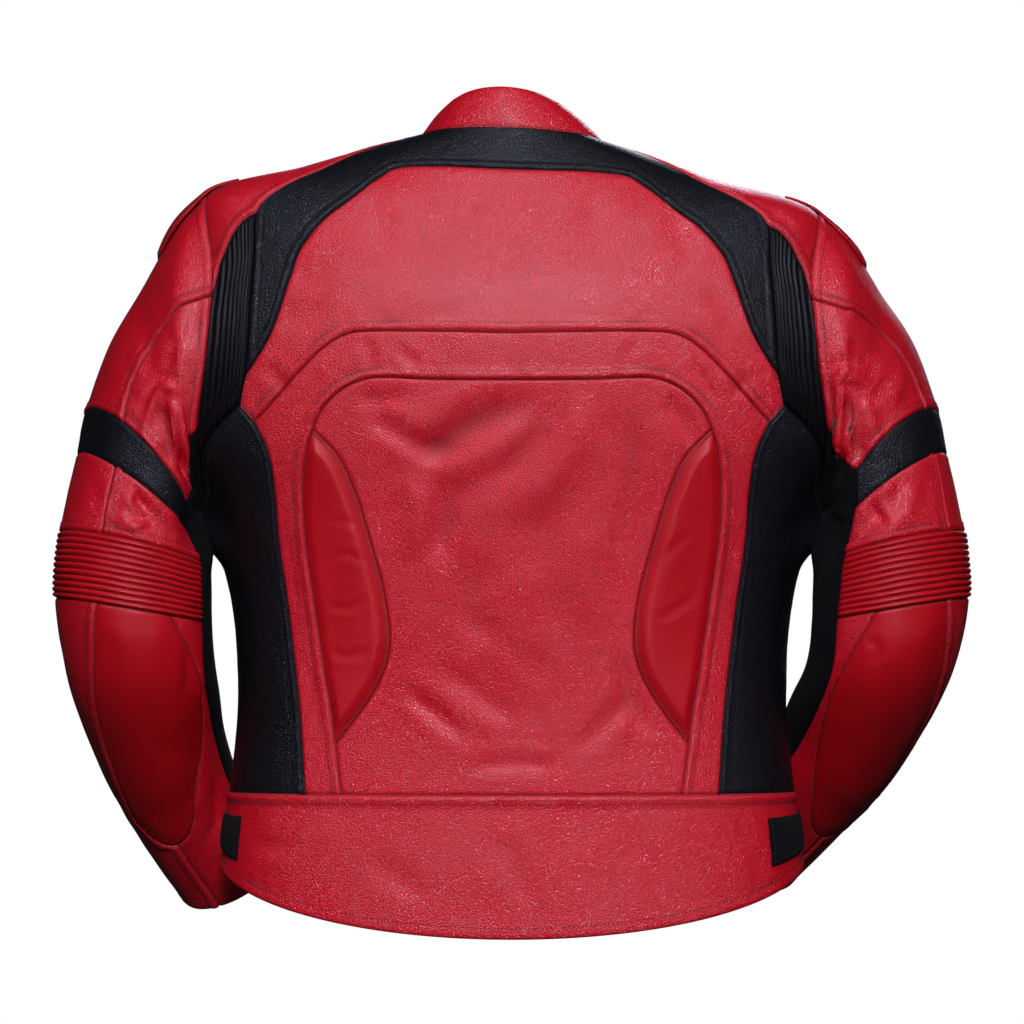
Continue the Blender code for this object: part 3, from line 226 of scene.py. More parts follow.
# Row and angle down the elbow panel's inner seam, then angle and row along its foot.
ELBOW_INNER_SEAM = ((7.7, -37), (8.4, -44), (9.1, -41), (9.8, -28), (10.5, -2))
ELBOW_FOOT = ((14, 10.84), (36, 11.0), (57, 10.86))
RIBS_BACK, RIBS_SLEEVE, RIB_HEIGHT = 9, 11, 2.4 * MM
KIDNEY_RISE, KIDNEY_BREADTH, ELBOW_RISE = 5.0 * MM, 60 * MM, 3.0 * MM


# ---------------------------------------------------------------- curves and surfaces

def catmull(p0: Array, p1: Array, p2: Array, p3: Array, t: Array) -> Array:
    """The Catmull-Rom curve from p1 to p2 at the share t."""
    return p1 + 0.5 * t * (p2 - p0 + t * (2 * p0 - 5 * p1 + 4 * p2 - p3 + t * (3 * (p1 - p2) + p3 - p0)))


def spline(rows: Array, at: Array) -> Array:
    """Catmull-Rom through the rows of a table, at any positions counted in rows."""
    rows, at = np.asarray(rows, float), np.asarray(at, float)
    last = len(rows) - 1
    cell = np.clip(np.floor(at).astype(int), 0, last - 1)
    t = (at - cell)[..., None]
    padded = np.vstack([2 * rows[0] - rows[1], rows, 2 * rows[-1] - rows[-2]])
    return catmull(*(padded[cell + k] for k in range(4)), t)


def dense(points: Iterable[Sequence[float]]) -> Array:
    """A smooth curve through a few points, as many short steps."""
    points = np.array([tuple(p) for p in points], float)
    at = np.linspace(0, len(points) - 1, FINE_STEPS * (len(points) - 1) + 1)
    if len(points) == 2:
        return points[0] + (points[1] - points[0]) * at[:, None]
    return spline(points, at)


def joined(*curves: Array) -> Array:
    """Curves laid end to end as one."""
    return np.concatenate([curves[0]] + [c[1:] for c in curves[1:]])


def mirrored(points: Array) -> Array:
    """The same trunk curve on the other side of the centre back."""
    return points * (-1, 1)


def full_width(parts: Sequence[Array]) -> list[Array]:
    """Parts that run to the centre back, continued on the other side: left end first."""
    return [mirrored(p) for p in parts] + [p[::-1] for p in reversed(parts)]


def upwards(angle: float, low: float, high: float) -> Array:
    """A line of one angle between two rows."""
    return dense([(angle, low), (angle, high)])


def smooth(t: Array) -> Array:
    """A soft step from 0 to 1."""
    t = np.clip(t, 0, 1)
    return t * t * (3 - 2 * t)


def noise(points: Array, size: float, seed: float = 0.0) -> Array:
    """Smooth noise from -1 to 1 with bumps of about the given size in metres."""
    p = points / size + seed * 17.13
    cell = np.floor(p)
    f = smooth(p - cell)
    total = np.zeros(p.shape[:-1])
    for corner in np.ndindex(2, 2, 2):
        c = cell + corner
        value = np.sin(c @ np.array([127.1, 311.7, 74.7]) + seed) * 43758.5453
        weight = np.prod(np.where(np.array(corner) == 1, f, 1 - f), axis=-1)
        total += weight * ((value - np.floor(value)) * 2 - 1)
    return total


def run_along(line: Array) -> Array:
    """How far along a line of points each one lies."""
    return np.concatenate([[0], np.cumsum(np.linalg.norm(np.diff(line, axis=0), axis=1))])


def at_run(place: float, run: Array, line: Array) -> Vector:
    """The values of a line at a place along it."""
    return Vector([np.interp(place, run, line[:, k]) for k in range(3)])


def unit_normals(points: Callable[[Array], Array], grid: Array) -> Array:
    """Unit normals of a surface, from its points a little to each side."""
    n = np.cross(points(grid + ANGLE_PROBE) - points(grid - ANGLE_PROBE),
                 points(grid + ROW_PROBE) - points(grid - ROW_PROBE))
    return n / np.maximum(np.linalg.norm(n, axis=-1, keepdims=True), 1e-12)


class Surface:
    """A loft of the garment. Its coordinates are an angle and a row, its points the right half's."""

    turn = 1.0

    def points(self, grid: Array) -> Array:
        """World points of loft coordinates before the jacket settles."""
        raise NotImplementedError

    def normals(self, grid: Array) -> Array:
        """Unit normals pointing out of the garment."""
        return self.turn * unit_normals(self.points, grid)

    def locate(self, seam: Places, start: Sequence[float]) -> Array:
        """Loft coordinates of places given as x and z.

        Args:
            seam: places in millimetres as seen from the back.
            start: a first guess, as angle and row.

        Returns:
            One row of loft coordinates for each place.
        """
        found, at = [], np.array(start, float)
        for target in np.array(seam, float):
            for _ in range(80):
                slope = np.stack([(self.points(at + d) - self.points(at - d))[[0, 2]] / MM / (2 * d.sum())
                                  for d in (ANGLE_PROBE, ROW_PROBE)], axis=1)
                miss = target - self.points(at)[[0, 2]] / MM
                step = np.linalg.solve(slope.T @ slope + np.diag([0.002, 0.4]), slope.T @ miss)
                at = at + np.clip(step, (-10, -0.5), (10, 0.5))
                if np.abs(step).max() < 1e-5:
                    break
            found.append(at.copy())
        return np.array(found)


class BodyLoft(Surface):
    """The trunk or the collar: angle 0 at the centre back, 90 at the side, 180 at the centre front."""

    def __init__(self, rings: Sequence[BodyRing]) -> None:
        """Keep the rings as one table."""
        self.table = np.array([ring.row() for ring in rings])

    def points(self, grid: Array) -> Array:
        """World points of loft coordinates before the jacket settles."""
        side_z, back_z, front_z, half_width, back, front, centre_y, square = np.moveaxis(
            spline(self.table, grid[..., 1]), -1, 0)
        a = np.radians(grid[..., 0])
        across = (np.sin(a) + square * np.sin(3 * a)) / (1 - square)
        along = (np.cos(a) - square * np.cos(3 * a)) / (1 - square)
        mean = (back_z + front_z) / 2
        z = (mean + side_z) / 2 + (back_z - front_z) / 2 * np.cos(a) + (mean - side_z) / 2 * np.cos(2 * a)
        y = centre_y - np.where(along > 0, back, front) * along
        return np.stack([half_width * across, y, z], axis=-1) * MM

    def armhole(self, angle: Array) -> Array:
        """The armhole in trunk coordinates: 0 degrees at its back, 90 at the shoulder, 270 at the armpit."""
        a = np.radians(np.asarray(angle, float))
        return np.stack([90 - ARMHOLE_HALF_ANGLE * np.cos(a), BLADES + ARMHOLE_HALF_RINGS * np.sin(a)],
                        axis=-1)

    def zip_edge(self, row: Array, x: float = ZIP_HALF_WIDTH) -> Array:
        """Loft coordinates at the front where the trunk is a given distance from the centre front."""
        low, high = np.full(np.shape(row), 150.0), np.full(np.shape(row), 180.0)
        for _ in range(40):
            middle = (low + high) / 2
            outside = self.points(np.stack([middle, row], axis=-1))[..., 0] > x
            low, high = np.where(outside, middle, low), np.where(outside, high, middle)
        return np.stack([high, row], axis=-1)


TRUNK = BodyLoft(TRUNK_RINGS)
COLLAR = BodyLoft(COLLAR_RINGS)


class SleeveLoft(Surface):
    """A sleeve: angle 0 at its back, 90 outermost, 180 at its front; row 0 is the armhole."""

    turn = -1.0

    def __init__(self, side: int) -> None:
        """Keep the rings as one table; the left sleeve has no swing."""
        self.swing = 1.0 if side > 0 else 0.0
        self.table = np.array([ring.row() for ring in SLEEVE_RINGS]).T

    def fold_depth(self, angle: Array, row: Array) -> Array:
        """How far the broad folds press the sleeve in, in millimetres."""
        total = np.zeros(np.broadcast(angle, row).shape)
        for fold in SLEEVE_FOLDS:
            around = np.radians((angle - fold.angle + 180) % 360 - 180) * SLEEVE_RADIUS
            along = (row - fold.row) * SLEEVE_PITCH
            c, s = math.cos(math.radians(fold.turn)), math.sin(math.radians(fold.turn))
            wide, length = around * c + along * s, along * c - around * s
            total += fold.depth * np.exp(-(wide / fold.half_width) ** 2 - (length / fold.half_length) ** 2)
        return total

    def bare(self, grid: Array) -> Array:
        """The sleeve without its folds."""
        (outer_x, outer_z, inner_x, inner_z, centre_y, depth, lean,
         swing_x, swing_y, swing_z) = self.table
        a = np.radians(grid[..., 0])[..., None]
        reach_x, reach_z = (outer_x - inner_x) / 2, (outer_z - inner_z) / 2
        width = np.hypot(reach_x, reach_z)
        backward = depth * np.sin(np.radians(lean)) * np.cos(a)
        x = (outer_x + inner_x) / 2 - self.swing * swing_x + reach_x * np.sin(a) + reach_z / width * backward
        z = (outer_z + inner_z) / 2 - self.swing * swing_z + reach_z * np.sin(a) - reach_x / width * backward
        y = centre_y - self.swing * swing_y - depth * np.cos(np.radians(lean)) * np.cos(a)
        rings = np.stack([x, y, z], axis=-1) * MM
        rings = np.concatenate([TRUNK.points(TRUNK.armhole(grid[..., 0]))[..., None, :], rings], axis=-2)
        row = grid[..., 1]
        cell = np.clip(np.floor(row).astype(int), 0, rings.shape[-2] - 2)
        t = (row - cell)[..., None]
        padded = np.concatenate([2 * rings[..., :1, :] - rings[..., 1:2, :], rings,
                                 2 * rings[..., -1:, :] - rings[..., -2:-1, :]], axis=-2)
        return catmull(*(np.take_along_axis(padded, (cell + k)[..., None, None], axis=-2)[..., 0, :]
                         for k in range(4)), t)

    def points(self, grid: Array) -> Array:
        """World points of loft coordinates, folds included."""
        depth = self.fold_depth(grid[..., 0], grid[..., 1]) * MM
        return self.bare(grid) + unit_normals(self.bare, grid) * depth[..., None]


SLEEVES = {side: SleeveLoft(side) for side in (-1, 1)}


def settled(points: Array) -> Array:
    """How the jacket hangs in wear: the right shoulder a little lower, the collar leaning left."""
    points = points.copy()
    height = smooth((points[..., 2] - TILT_START) / (TILT_FULL - TILT_START))
    points[..., 2] -= SHOULDER_TILT * height * points[..., 0]
    points[..., 0] -= COLLAR_LEAN * np.clip((points[..., 2] - COLLAR_FOOT) / COLLAR_HEIGHT, 0, 1)
    return points


# ---------------------------------------------------------------- listed creases

class Part(Enum):
    """The part of the garment that a crease lies on."""
    TRUNK = "trunk"
    LEFT = "left sleeve"
    RIGHT = "right sleeve"


@dataclass(frozen=True)
class Crease:
    """A soft trough along a line, in millimetres; a ridge has a negative depth.

    seen lines are x and z from the back; the others are angle and row on the part's loft.
    """
    part: Part
    path: Places
    width: float
    depth: float
    seen: bool = True

    @cached_property
    def line(self) -> Array:
        """The crease's points in space before the jacket settles."""
        side = -1 if self.part is Part.LEFT or (self.part is Part.TRUNK and self.path[0][0] < 0) else 1
        loft = TRUNK if self.part is Part.TRUNK else SLEEVES[side]
        if self.seen:
            start = (20, 6) if self.part is Part.TRUNK else (0, 4)
            coords = loft.locate([(x * side, z) for x, z in self.path], start)
            mirror = np.array([side, 1, 1])
        else:
            coords = np.array(self.path, float)
            mirror = np.array([side if self.part is not Part.TRUNK else 1, 1, 1])
        return loft.points(dense(coords)[::6]) * mirror

    def press(self, points: Array) -> Array:
        """How far the crease presses points in, in metres."""
        line = self.line
        reach = 3 * self.width * MM
        low, high = line.min(axis=0) - reach, line.max(axis=0) + reach
        near = np.all((points > low) & (points < high), axis=-1)
        total = np.zeros(points.shape[:-1])
        if not near.any():
            return total
        p = points[near]
        best = np.full(len(p), 1e9)
        place = np.zeros(len(p))
        for k, (a, b) in enumerate(zip(line[:-1], line[1:])):
            step = b - a
            t = np.clip((p - a) @ step / max(step @ step, 1e-12), 0, 1)
            d = np.linalg.norm(p - a - t[:, None] * step, axis=-1)
            place = np.where(d < best, (k + t) / (len(line) - 1), place)
            best = np.minimum(best, d)
        fade = smooth(np.minimum(place, 1 - place) * 3.2)
        away = best / (self.width * MM)
        total[near] = self.depth * MM * fade * (np.exp(-away ** 2) - 0.30 * np.exp(-(away - 1.9) ** 2))
        return total


# Each row: a path as places (x, z) seen from the back, then the width and the depth.
LEFT_CREASES = (
    # left upper arm: the deep inverted U beside the armhole and the crumple above the band
    (((-281, -200), (-278, -216), (-272, -236), (-269, -256)), 7.0, 4.6),
    (((-288, -222), (-285, -203), (-275, -190), (-265, -196)), 3.8, -3.2),
    (((-270, -198), (-268, -211), (-265, -224)), 3.4, -1.8),
    (((-288, -215), (-286, -228), (-281, -236)), 3.0, 1.8),
    (((-262, -150), (-270, -165), (-280, -176)), 5.0, 1.2),
    (((-300, -150), (-296, -168), (-294, -190)), 6.0, -1.2),
    (((-250, -120), (-254, -140), (-258, -160)), 4.0, 1.4),
    (((-312, -190), (-300, -200), (-292, -204)), 4.0, 1.0),
    # left, between the band and the ribs
    (((-299, -272), (-305, -281), (-297, -288), (-288, -295)), 3.2, -2.6),
    (((-293, -272), (-296, -281), (-288, -288)), 3.2, 2.4),
    (((-289, -296), (-297, -301), (-307, -302)), 3.0, -2.4),
    (((-282, -285), (-275, -300), (-264, -312)), 4.5, 1.6),
    (((-318, -268), (-316, -284), (-310, -294)), 5.0, 1.3),
    (((-336, -262), (-330, -276), (-326, -292)), 5.0, 0.9),
    # left forearm
    (((-262, -392), (-258, -416), (-262, -440)), 4.5, 2.0),
    (((-250, -400), (-248, -424), (-252, -446)), 4.0, -1.6),
    (((-258, -470), (-252, -500), (-256, -530)), 6.0, 2.0),
    (((-240, -500), (-238, -530), (-244, -560)), 5.0, 1.8),
    (((-300, -385), (-296, -400), (-300, -416)), 6.0, 0.8),
)
RIGHT_CREASES = (
    # right upper arm
    (((244, -224), (249, -204), (258, -188), (274, -184), (292, -197)), 4.5, -3.0),
    (((266, -194), (269, -212), (274, -236), (279, -260)), 7.4, 4.8),
    (((278, -200), (284, -214), (286, -232)), 6.0, -1.6),
    (((264, -150), (276, -164), (290, -172)), 5.0, 1.4),
    (((300, -182), (292, -196), (282, -204)), 4.0, 1.4),
    (((312, -170), (308, -190), (300, -206)), 5.0, -1.2),
    (((258, -118), (266, -134), (270, -150)), 5.0, 1.2),
    # right, between the band and the ribs
    (((300, -262), (296, -278), (294, -296)), 6.0, -2.0),
    (((310, -262), (306, -280), (306, -298)), 5.0, 1.5),
    (((282, -280), (290, -292), (300, -302)), 4.0, 1.4),
    (((326, -262), (330, -276), (332, -290)), 6.0, 0.9),
    # right forearm
    (((284, -386), (290, -400), (284, -412)), 4.5, 1.6),
    (((276, -420), (268, -450), (258, -480)), 6.0, 1.5),
    (((300, -430), (290, -470), (276, -500)), 8.0, -1.2),
)
TRUNK_CREASES = (
    # back above the arch
    (((-176, -92), (-160, -104), (-136, -96)), 9.0, 1.4),
    (((-186, -130), (-166, -136), (-140, -124)), 8.0, 1.3),
    (((-120, -40), (-104, -60), (-98, -84)), 10.0, 1.2),
    (((-30, -30), (-36, -50), (-28, -72)), 12.0, 1.1),
    (((60, -30), (66, -52), (58, -76)), 12.0, 1.1),
    (((120, -44), (132, -66), (150, -90)), 10.0, 1.4),
    (((152, -110), (168, -128), (180, -150)), 8.0, 1.4),
    (((-196, -170), (-184, -186), (-176, -196)), 6.0, 1.6),
    (((190, -176), (180, -192), (170, -200)), 6.0, 1.4),
    # the frame between the arches
    (((-150, -178), (-158, -196), (-172, -214)), 5.0, 1.6),
    (((-118, -152), (-112, -164), (-118, -178)), 5.0, 1.3),
    (((-90, -156), (-84, -166), (-70, -176)), 5.0, 1.2),
    (((96, -154), (90, -166), (94, -178)), 5.0, 1.2),
    (((140, -166), (150, -186), (166, -206)), 5.0, 1.5),
    (((-176, -300), (-174, -340), (-170, -376)), 5.0, 0.8),
    (((-166, -400), (-160, -430), (-156, -470)), 5.0, 0.7),
    (((178, -290), (174, -330), (170, -360)), 5.0, 0.8),
    # centre back
    (((-122, -204), (-98, -222), (-66, -240), (-30, -236)), 8.0, 2.2),
    (((-126, -196), (-104, -202), (-84, -194)), 7.0, 2.0),
    (((-78, -250), (-36, -224), (24, -196)), 12.5, 4.4),
    (((-6, -304), (38, -252), (64, -190)), 14.0, -3.4),
    (((-88, -254), (-74, -290), (-82, -330)), 11.0, -2.6),
    (((-32, -256), (-50, -290), (-60, -340)), 11.0, 2.8),
    (((90, -206), (95, -262), (90, -336)), 12.0, 2.6),
    (((26, -214), (8, -244), (-22, -270)), 10.0, 1.8),
    (((118, -200), (134, -216), (146, -240)), 7.0, 2.0),
    (((70, -290), (58, -340), (66, -390)), 15.0, -2.6),
    (((16, -320), (8, -370), (20, -420)), 16.0, -2.4),
    (((-18, -320), (-34, -360), (-22, -410)), 13.0, 2.0),
    (((-92, -424), (-62, -448), (-30, -474)), 6.5, 2.0),
    (((-64, -404), (-26, -434), (10, -462)), 8.0, 1.8),
    (((-50, -380), (-6, -410), (34, -446)), 9.0, -1.2),
    (((98, -430), (72, -458), (50, -480)), 8.0, 1.6),
    (((84, -396), (94, -438), (112, -474)), 9.0, 2.4),
    (((-40, -494), (0, -488), (44, -492)), 6.0, 1.2),
    # kidney inserts
    (((-146, -300), (-132, -296), (-120, -302)), 3.0, 0.5),
    (((-146, -330), (-130, -322), (-112, -332)), 3.0, 0.6),
    (((-148, -362), (-130, -366), (-108, -356)), 3.4, 0.6),
    (((-146, -398), (-128, -404), (-106, -396)), 3.4, 0.6),
    (((142, -306), (126, -318), (114, -336)), 4.0, 0.6),
    (((148, -352), (130, -366), (110, -374)), 4.0, 0.6),
    # hem band
    (((-210, -548), (-190, -556), (-160, -552)), 7.0, 1.3),
    (((-120, -560), (-90, -580), (-60, -600)), 9.0, 1.2),
    (((-20, -540), (0, -570), (10, -606)), 10.0, 1.1),
    (((90, -550), (110, -570), (120, -596)), 9.0, 1.2),
    (((170, -540), (190, -560), (204, -584)), 8.0, 1.4),
    # shoulders
    (((-226, -46), (-214, -52), (-204, -44)), 4.0, 1.2),
    (((-196, -30), (-180, -30), (-166, -22)), 5.0, 1.1),
    (((226, -60), (216, -52), (204, -46)), 4.0, 1.2),
)
# On the sides that the view from the back hides: a path as (angle, row) on the loft.
HIDDEN_TRUNK_CREASES = (
    (((120, 8.2), (138, 7.4), (156, 6.9)), 10.0, 2.2),
    (((-120, 8.0), (-136, 7.3), (-152, 7.0)), 10.0, 2.0),
    (((128, 5.2), (144, 5.5), (160, 5.1)), 11.0, 1.8),
    (((-126, 5.0), (-146, 5.4), (-162, 4.9)), 11.0, 1.8),
    (((118, 3.2), (140, 3.6), (164, 3.0)), 10.0, 2.0),
    (((-116, 3.4), (-142, 3.2), (-166, 3.3)), 10.0, 2.0),
    (((112, 6.6), (116, 5.6), (112, 4.4)), 8.0, 1.8),
    (((-112, 6.4), (-118, 5.4), (-110, 4.2)), 8.0, 1.8),
    (((126, 10.4), (138, 9.8), (150, 9.6)), 9.0, 1.4),
    (((-124, 10.2), (-136, 9.8), (-150, 9.4)), 9.0, 1.4),
    (((82, 4.3), (82, 4.9), (82, 5.5)), 18.0, -6.0),
    (((-82, 4.3), (-82, 4.9), (-82, 5.5)), 18.0, -6.0),
)
HIDDEN_SLEEVE_CREASES = (
    (((282, 2.2), (282, 4.2), (282, 6.3)), 18.0, -7.0),
    (((214, 1.4), (226, 2.2), (236, 3.0)), 6.0, 2.6),
    (((196, 2.6), (212, 3.2), (232, 3.6)), 6.0, 2.2),
    (((150, 1.2), (168, 1.8), (186, 2.0)), 8.0, 1.6),
    (((110, 5.3), (150, 5.6), (200, 5.4)), 6.0, 2.2),
    (((130, 6.3), (170, 6.5), (220, 6.2)), 6.0, 2.6),
    (((120, 6.75), (160, 6.9), (205, 6.8)), 5.5, 2.4),
    (((140, 7.5), (180, 7.3), (226, 7.5)), 6.5, 2.2),
    (((120, 8.5), (150, 8.2), (190, 8.4)), 7.0, 1.6),
    (((80, 10.2), (110, 10.6), (150, 10.4)), 7.0, 1.4),
    (((190, 9.4), (206, 10.2), (214, 11.2)), 7.0, 1.6),
    (((60, 8.8), (70, 9.8), (66, 10.8)), 8.0, 1.2),
)
CREASES = (
    *(Crease(Part.LEFT, *row) for row in LEFT_CREASES),
    *(Crease(Part.RIGHT, *row) for row in RIGHT_CREASES),
    *(Crease(Part.TRUNK, *row) for row in TRUNK_CREASES),
    *(Crease(Part.TRUNK, *row, False) for row in HIDDEN_TRUNK_CREASES),
    *(Crease(part, *row, False) for part in (Part.LEFT, Part.RIGHT) for row in HIDDEN_SLEEVE_CREASES),
)


# ---------------------------------------------------------------- shader building

class Value:
    """A shader value that takes part in Python arithmetic by adding Math nodes."""

    def __init__(self, shader: "Shader", socket: bpy.types.NodeSocket) -> None:
        """Wrap an output socket."""
        self.shader, self.socket = shader, socket

    def math(self, operation: str, *others: "Value | float", first: "Value | float | None" = None) -> "Value":
        """One Math node with this value and others as its inputs.

        Args:
            operation: the node's operation.
            others: the values after this one.
            first: a value to stand before this one.

        Returns:
            The node's result.
        """
        inputs = [self, *others] if first is None else [first, self]
        node = self.shader.node("ShaderNodeMath", {"operation": operation}, dict(enumerate(inputs)))
        return Value(self.shader, node.outputs[0])

    def __add__(self, other: "Value | float") -> "Value":
        """Sum."""
        return self.math("ADD", other)

    __radd__ = __add__

    def __sub__(self, other: "Value | float") -> "Value":
        """Difference."""
        return self.math("SUBTRACT", other)

    def __rsub__(self, other: float) -> "Value":
        """Difference from a number."""
        return self.math("SUBTRACT", first=other)

    def __mul__(self, other: "Value | float") -> "Value":
        """Product."""
        return self.math("MULTIPLY", other)

    __rmul__ = __mul__

    def clamped(self, low: float = 0.0, high: float = 1.0) -> "Value":
        """The value kept between two limits."""
        return self.math("MAXIMUM", low).math("MINIMUM", high)

    def between(self, low: float, high: float) -> "Value":
        """0 below low and 1 above high, smooth in between."""
        node = self.shader.node("ShaderNodeMapRange", {"interpolation_type": "SMOOTHSTEP"},
                                {"Value": self, "From Min": low, "From Max": high})
        return Value(self.shader, node.outputs[0])


class Shader:
    """A material and its node tree, built from named sockets."""

    def __init__(self, name: str) -> None:
        """A new material with one Principled shader."""
        self.material = bpy.data.materials.new(name)
        self.material.use_nodes = True
        self.tree = self.material.node_tree
        self.main = self.tree.nodes["Principled BSDF"]

    def node(self, kind: str, settings: dict[str, Any] | None = None,
             sockets: dict[str | int, Any] | None = None) -> bpy.types.Node:
        """A node with its settings made first and then its sockets.

        Args:
            kind: the node's type.
            settings: its own settings.
            sockets: values or links by socket name or number.

        Returns:
            The node.
        """
        node = self.tree.nodes.new(kind)
        for key, value in (settings or {}).items():
            setattr(node, key, value)
        for key, value in (sockets or {}).items():
            self.connect(node.inputs[key], value)
        return node

    def connect(self, socket: bpy.types.NodeSocket, value: Any) -> None:
        """Link a wrapped value or a socket, or set a plain one."""
        if isinstance(value, Value):
            value = value.socket
        if isinstance(value, bpy.types.NodeSocket):
            self.tree.links.new(value, socket)
        else:
            socket.default_value = value

    def value(self, kind: str, settings: dict[str, Any] | None = None,
              sockets: dict[str | int, Any] | None = None, output: str | int = 0) -> Value:
        """One output of a new node."""
        return Value(self, self.node(kind, settings, sockets).outputs[output])

    def place(self) -> Value:
        """Object coordinates in metres."""
        return self.value("ShaderNodeTexCoord", output="Object")

    def attribute(self, name: str) -> Value:
        """A number stored on the mesh's points."""
        return self.value("ShaderNodeAttribute", {"attribute_name": name}, output="Fac")

    def noise(self, size: float, detail: float = 2.0, place: Value | None = None) -> Value:
        """Noise from 0 to 1 with features of a size in metres."""
        return self.value("ShaderNodeTexNoise", None,
                          {"Vector": place or self.place(), "Scale": 1 / size, "Detail": detail})

    def cells(self, size: float, feature: str, place: Value) -> Value:
        """Distances of a cell pattern with cells of a size in metres."""
        return self.value("ShaderNodeTexVoronoi", {"feature": feature},
                          {"Vector": place, "Scale": 1 / size}, "Distance")

    def mix(self, factor: Value | float, a: Any, b: Any) -> Value:
        """A colour between two colours."""
        node = self.node("ShaderNodeMix", {"data_type": "RGBA"}, {0: factor, 6: a, 7: b})
        return Value(self, node.outputs[2])

    def bump(self, height: Value, depth: float, strength: float = 1.0, below: Value | None = None) -> Value:
        """A normal bent by a height from 0 to 1 that is depth metres tall."""
        sockets = {"Height": height, "Distance": depth, "Strength": strength}
        if below:
            sockets["Normal"] = below
        return self.value("ShaderNodeBump", None, sockets)

    def finish(self, **sockets: Any) -> bpy.types.Material:
        """Set the Principled shader's sockets and hand over the material."""
        for name, value in sockets.items():
            self.connect(self.main.inputs[name.replace("_", " ")], value)
        return self.material


def colour(red: float, green: float, blue: float) -> tuple[float, float, float, float]:
    """A linear colour with full alpha."""
    return red, green, blue, 1.0


def placed(name: str, data: Any) -> bpy.types.Object:
    """A new object in the scene."""
    thing = bpy.data.objects.new(name, data)
    bpy.context.scene.collection.objects.link(thing)
    return thing


def mesh_of(name: str, bm: bmesh.types.BMesh) -> bpy.types.Mesh:
    """The finished mesh of an edited one, which it frees."""
    mesh = bpy.data.meshes.new(name)
    bm.to_mesh(mesh)
    bm.free()
    return mesh


def shade_smooth(mesh: bpy.types.Mesh) -> None:
    """Shade all faces of a mesh smooth."""
    mesh.polygons.foreach_set("use_smooth", np.ones(len(mesh.polygons), bool))


@dataclass(frozen=True)
class LeatherFinish:
    """Grained, dyed leather with pebbles and fine pores; painted shade darkens its seams, stitch rows, rib
    valleys and deep folds, with some dirt along the seams.
    """
    name: str
    slot: str
    base: tuple[float, float, float]
    deep: tuple[float, float, float]
    worn: tuple[float, float, float]
    pebble: float = 2.0 * MM
    grain: float = 0.45 * MM
    pores: float = 0.05 * MM
    rough: float = 0.36
    spread: float = 0.12
    coat: float = 0.03
    shine: float = 0.6

    def build(self) -> bpy.types.Material:
        """The material of the leather's grain side."""
        s = Shader(self.name)
        place = s.place()
        warp = s.node("ShaderNodeTexNoise", None, {"Vector": place, "Scale": 1 / (4.0 * self.pebble),
                                                   "Detail": 2.0})
        shift = s.node("ShaderNodeVectorMath", {"operation": "MULTIPLY_ADD"},
                       {0: warp.outputs["Color"], 1: (self.pebble * 1.1,) * 3, 2: place})
        bent = Value(s, shift.outputs[0])
        edge = s.cells(self.pebble, "DISTANCE_TO_EDGE", bent)
        dome = s.cells(self.pebble, "F1", bent)
        pebbles = edge.between(0.0, 0.24) * 0.6 + (1 - dome * dome) * 0.6
        patches = s.noise(38 * MM, 3.0).between(0.30, 0.70)
        broad = s.noise(95 * MM, 2.0).between(0.32, 0.68)
        wrinkles = s.noise(1.3 * MM, 4.0)
        crease = s.attribute("crease")
        height = pebbles * (patches * 0.25 + 0.75) + wrinkles * 0.08
        fine = s.bump(wrinkles, self.pores)
        normal = s.bump(height, self.grain, 0.85, fine)
        tint = s.mix(pebbles.between(0.15, 0.75) * 0.7 + patches * 0.15, colour(*self.deep),
                     colour(*self.base))
        tint = s.mix((patches * broad).clamped() * 0.30, tint, colour(*self.worn))
        # painted shade: the crease attribute darkens seams, stitch rows, rib valleys and deep folds, with
        # dirt along the seams
        tint = s.mix(crease.clamped(), tint, colour(*(c * 0.22 for c in self.deep)))
        rough = (self.rough + self.spread * 0.5) - patches * self.spread + crease * 0.5 + wrinkles * 0.06
        return s.finish(Base_Color=tint, Roughness=rough.clamped(0.12, 0.95), Normal=normal,
                        Coat_Weight=(1 - crease.clamped()) * self.coat, Coat_Roughness=0.28,
                        Specular_IOR_Level=self.shine)


@dataclass(frozen=True)
class FleshFinish:
    """The rough inner side of the leather."""
    name: str
    base: tuple[float, float, float]

    def build(self) -> bpy.types.Material:
        """A dull suede with short nap."""
        s = Shader(self.name)
        nap = s.noise(0.9 * MM, 5.0)
        patches = s.noise(30 * MM, 3.0)
        tint = s.mix(nap * 0.5 + patches * 0.4, colour(*(c * 0.5 for c in self.base)),
                     colour(*self.base))
        return s.finish(Base_Color=tint, Roughness=0.92, Normal=s.bump(nap, 0.25 * MM), Sheen_Weight=0.25)


@dataclass(frozen=True)
class WeaveFinish:
    """Woven or ribbed fabric whose threads follow the piece's own map, in metres."""
    name: str
    slot: str
    base: tuple[float, float, float]
    lit: tuple[float, float, float]
    rib: float
    cross: float
    relief: float
    fuzz: float = 0.0

    def build(self) -> bpy.types.Material:
        """The material of the fabric's right side."""
        s = Shader(self.name)
        uv = s.value("ShaderNodeUVMap", {"uv_map": "Panel"})
        split = s.node("ShaderNodeSeparateXYZ", None, {0: uv})
        turn = 2 * math.pi
        across = (Value(s, split.outputs[0]) * (turn / self.rib)).math("SINE") * 0.5 + 0.5
        along = (Value(s, split.outputs[1]) * (turn / self.cross)).math("SINE") * 0.5 + 0.5
        fluff = s.noise(0.7 * MM, 4.0)
        height = (across * 0.7 + along * 0.3) * (1 - self.fuzz) + fluff * (0.2 + self.fuzz)
        tint = s.mix(height * 0.6 + s.noise(25 * MM) * 0.4, colour(*self.base), colour(*self.lit))
        # painted shade from the crease attribute darkens seams and folds, with dirt along the seams
        tint = s.mix(s.attribute("crease").clamped(), tint, colour(*(c * 0.4 for c in self.base)))
        return s.finish(Base_Color=tint, Roughness=0.88, Normal=s.bump(height, self.relief),
                        Specular_IOR_Level=0.1, Sheen_Weight=0.01, Sheen_Roughness=0.5)


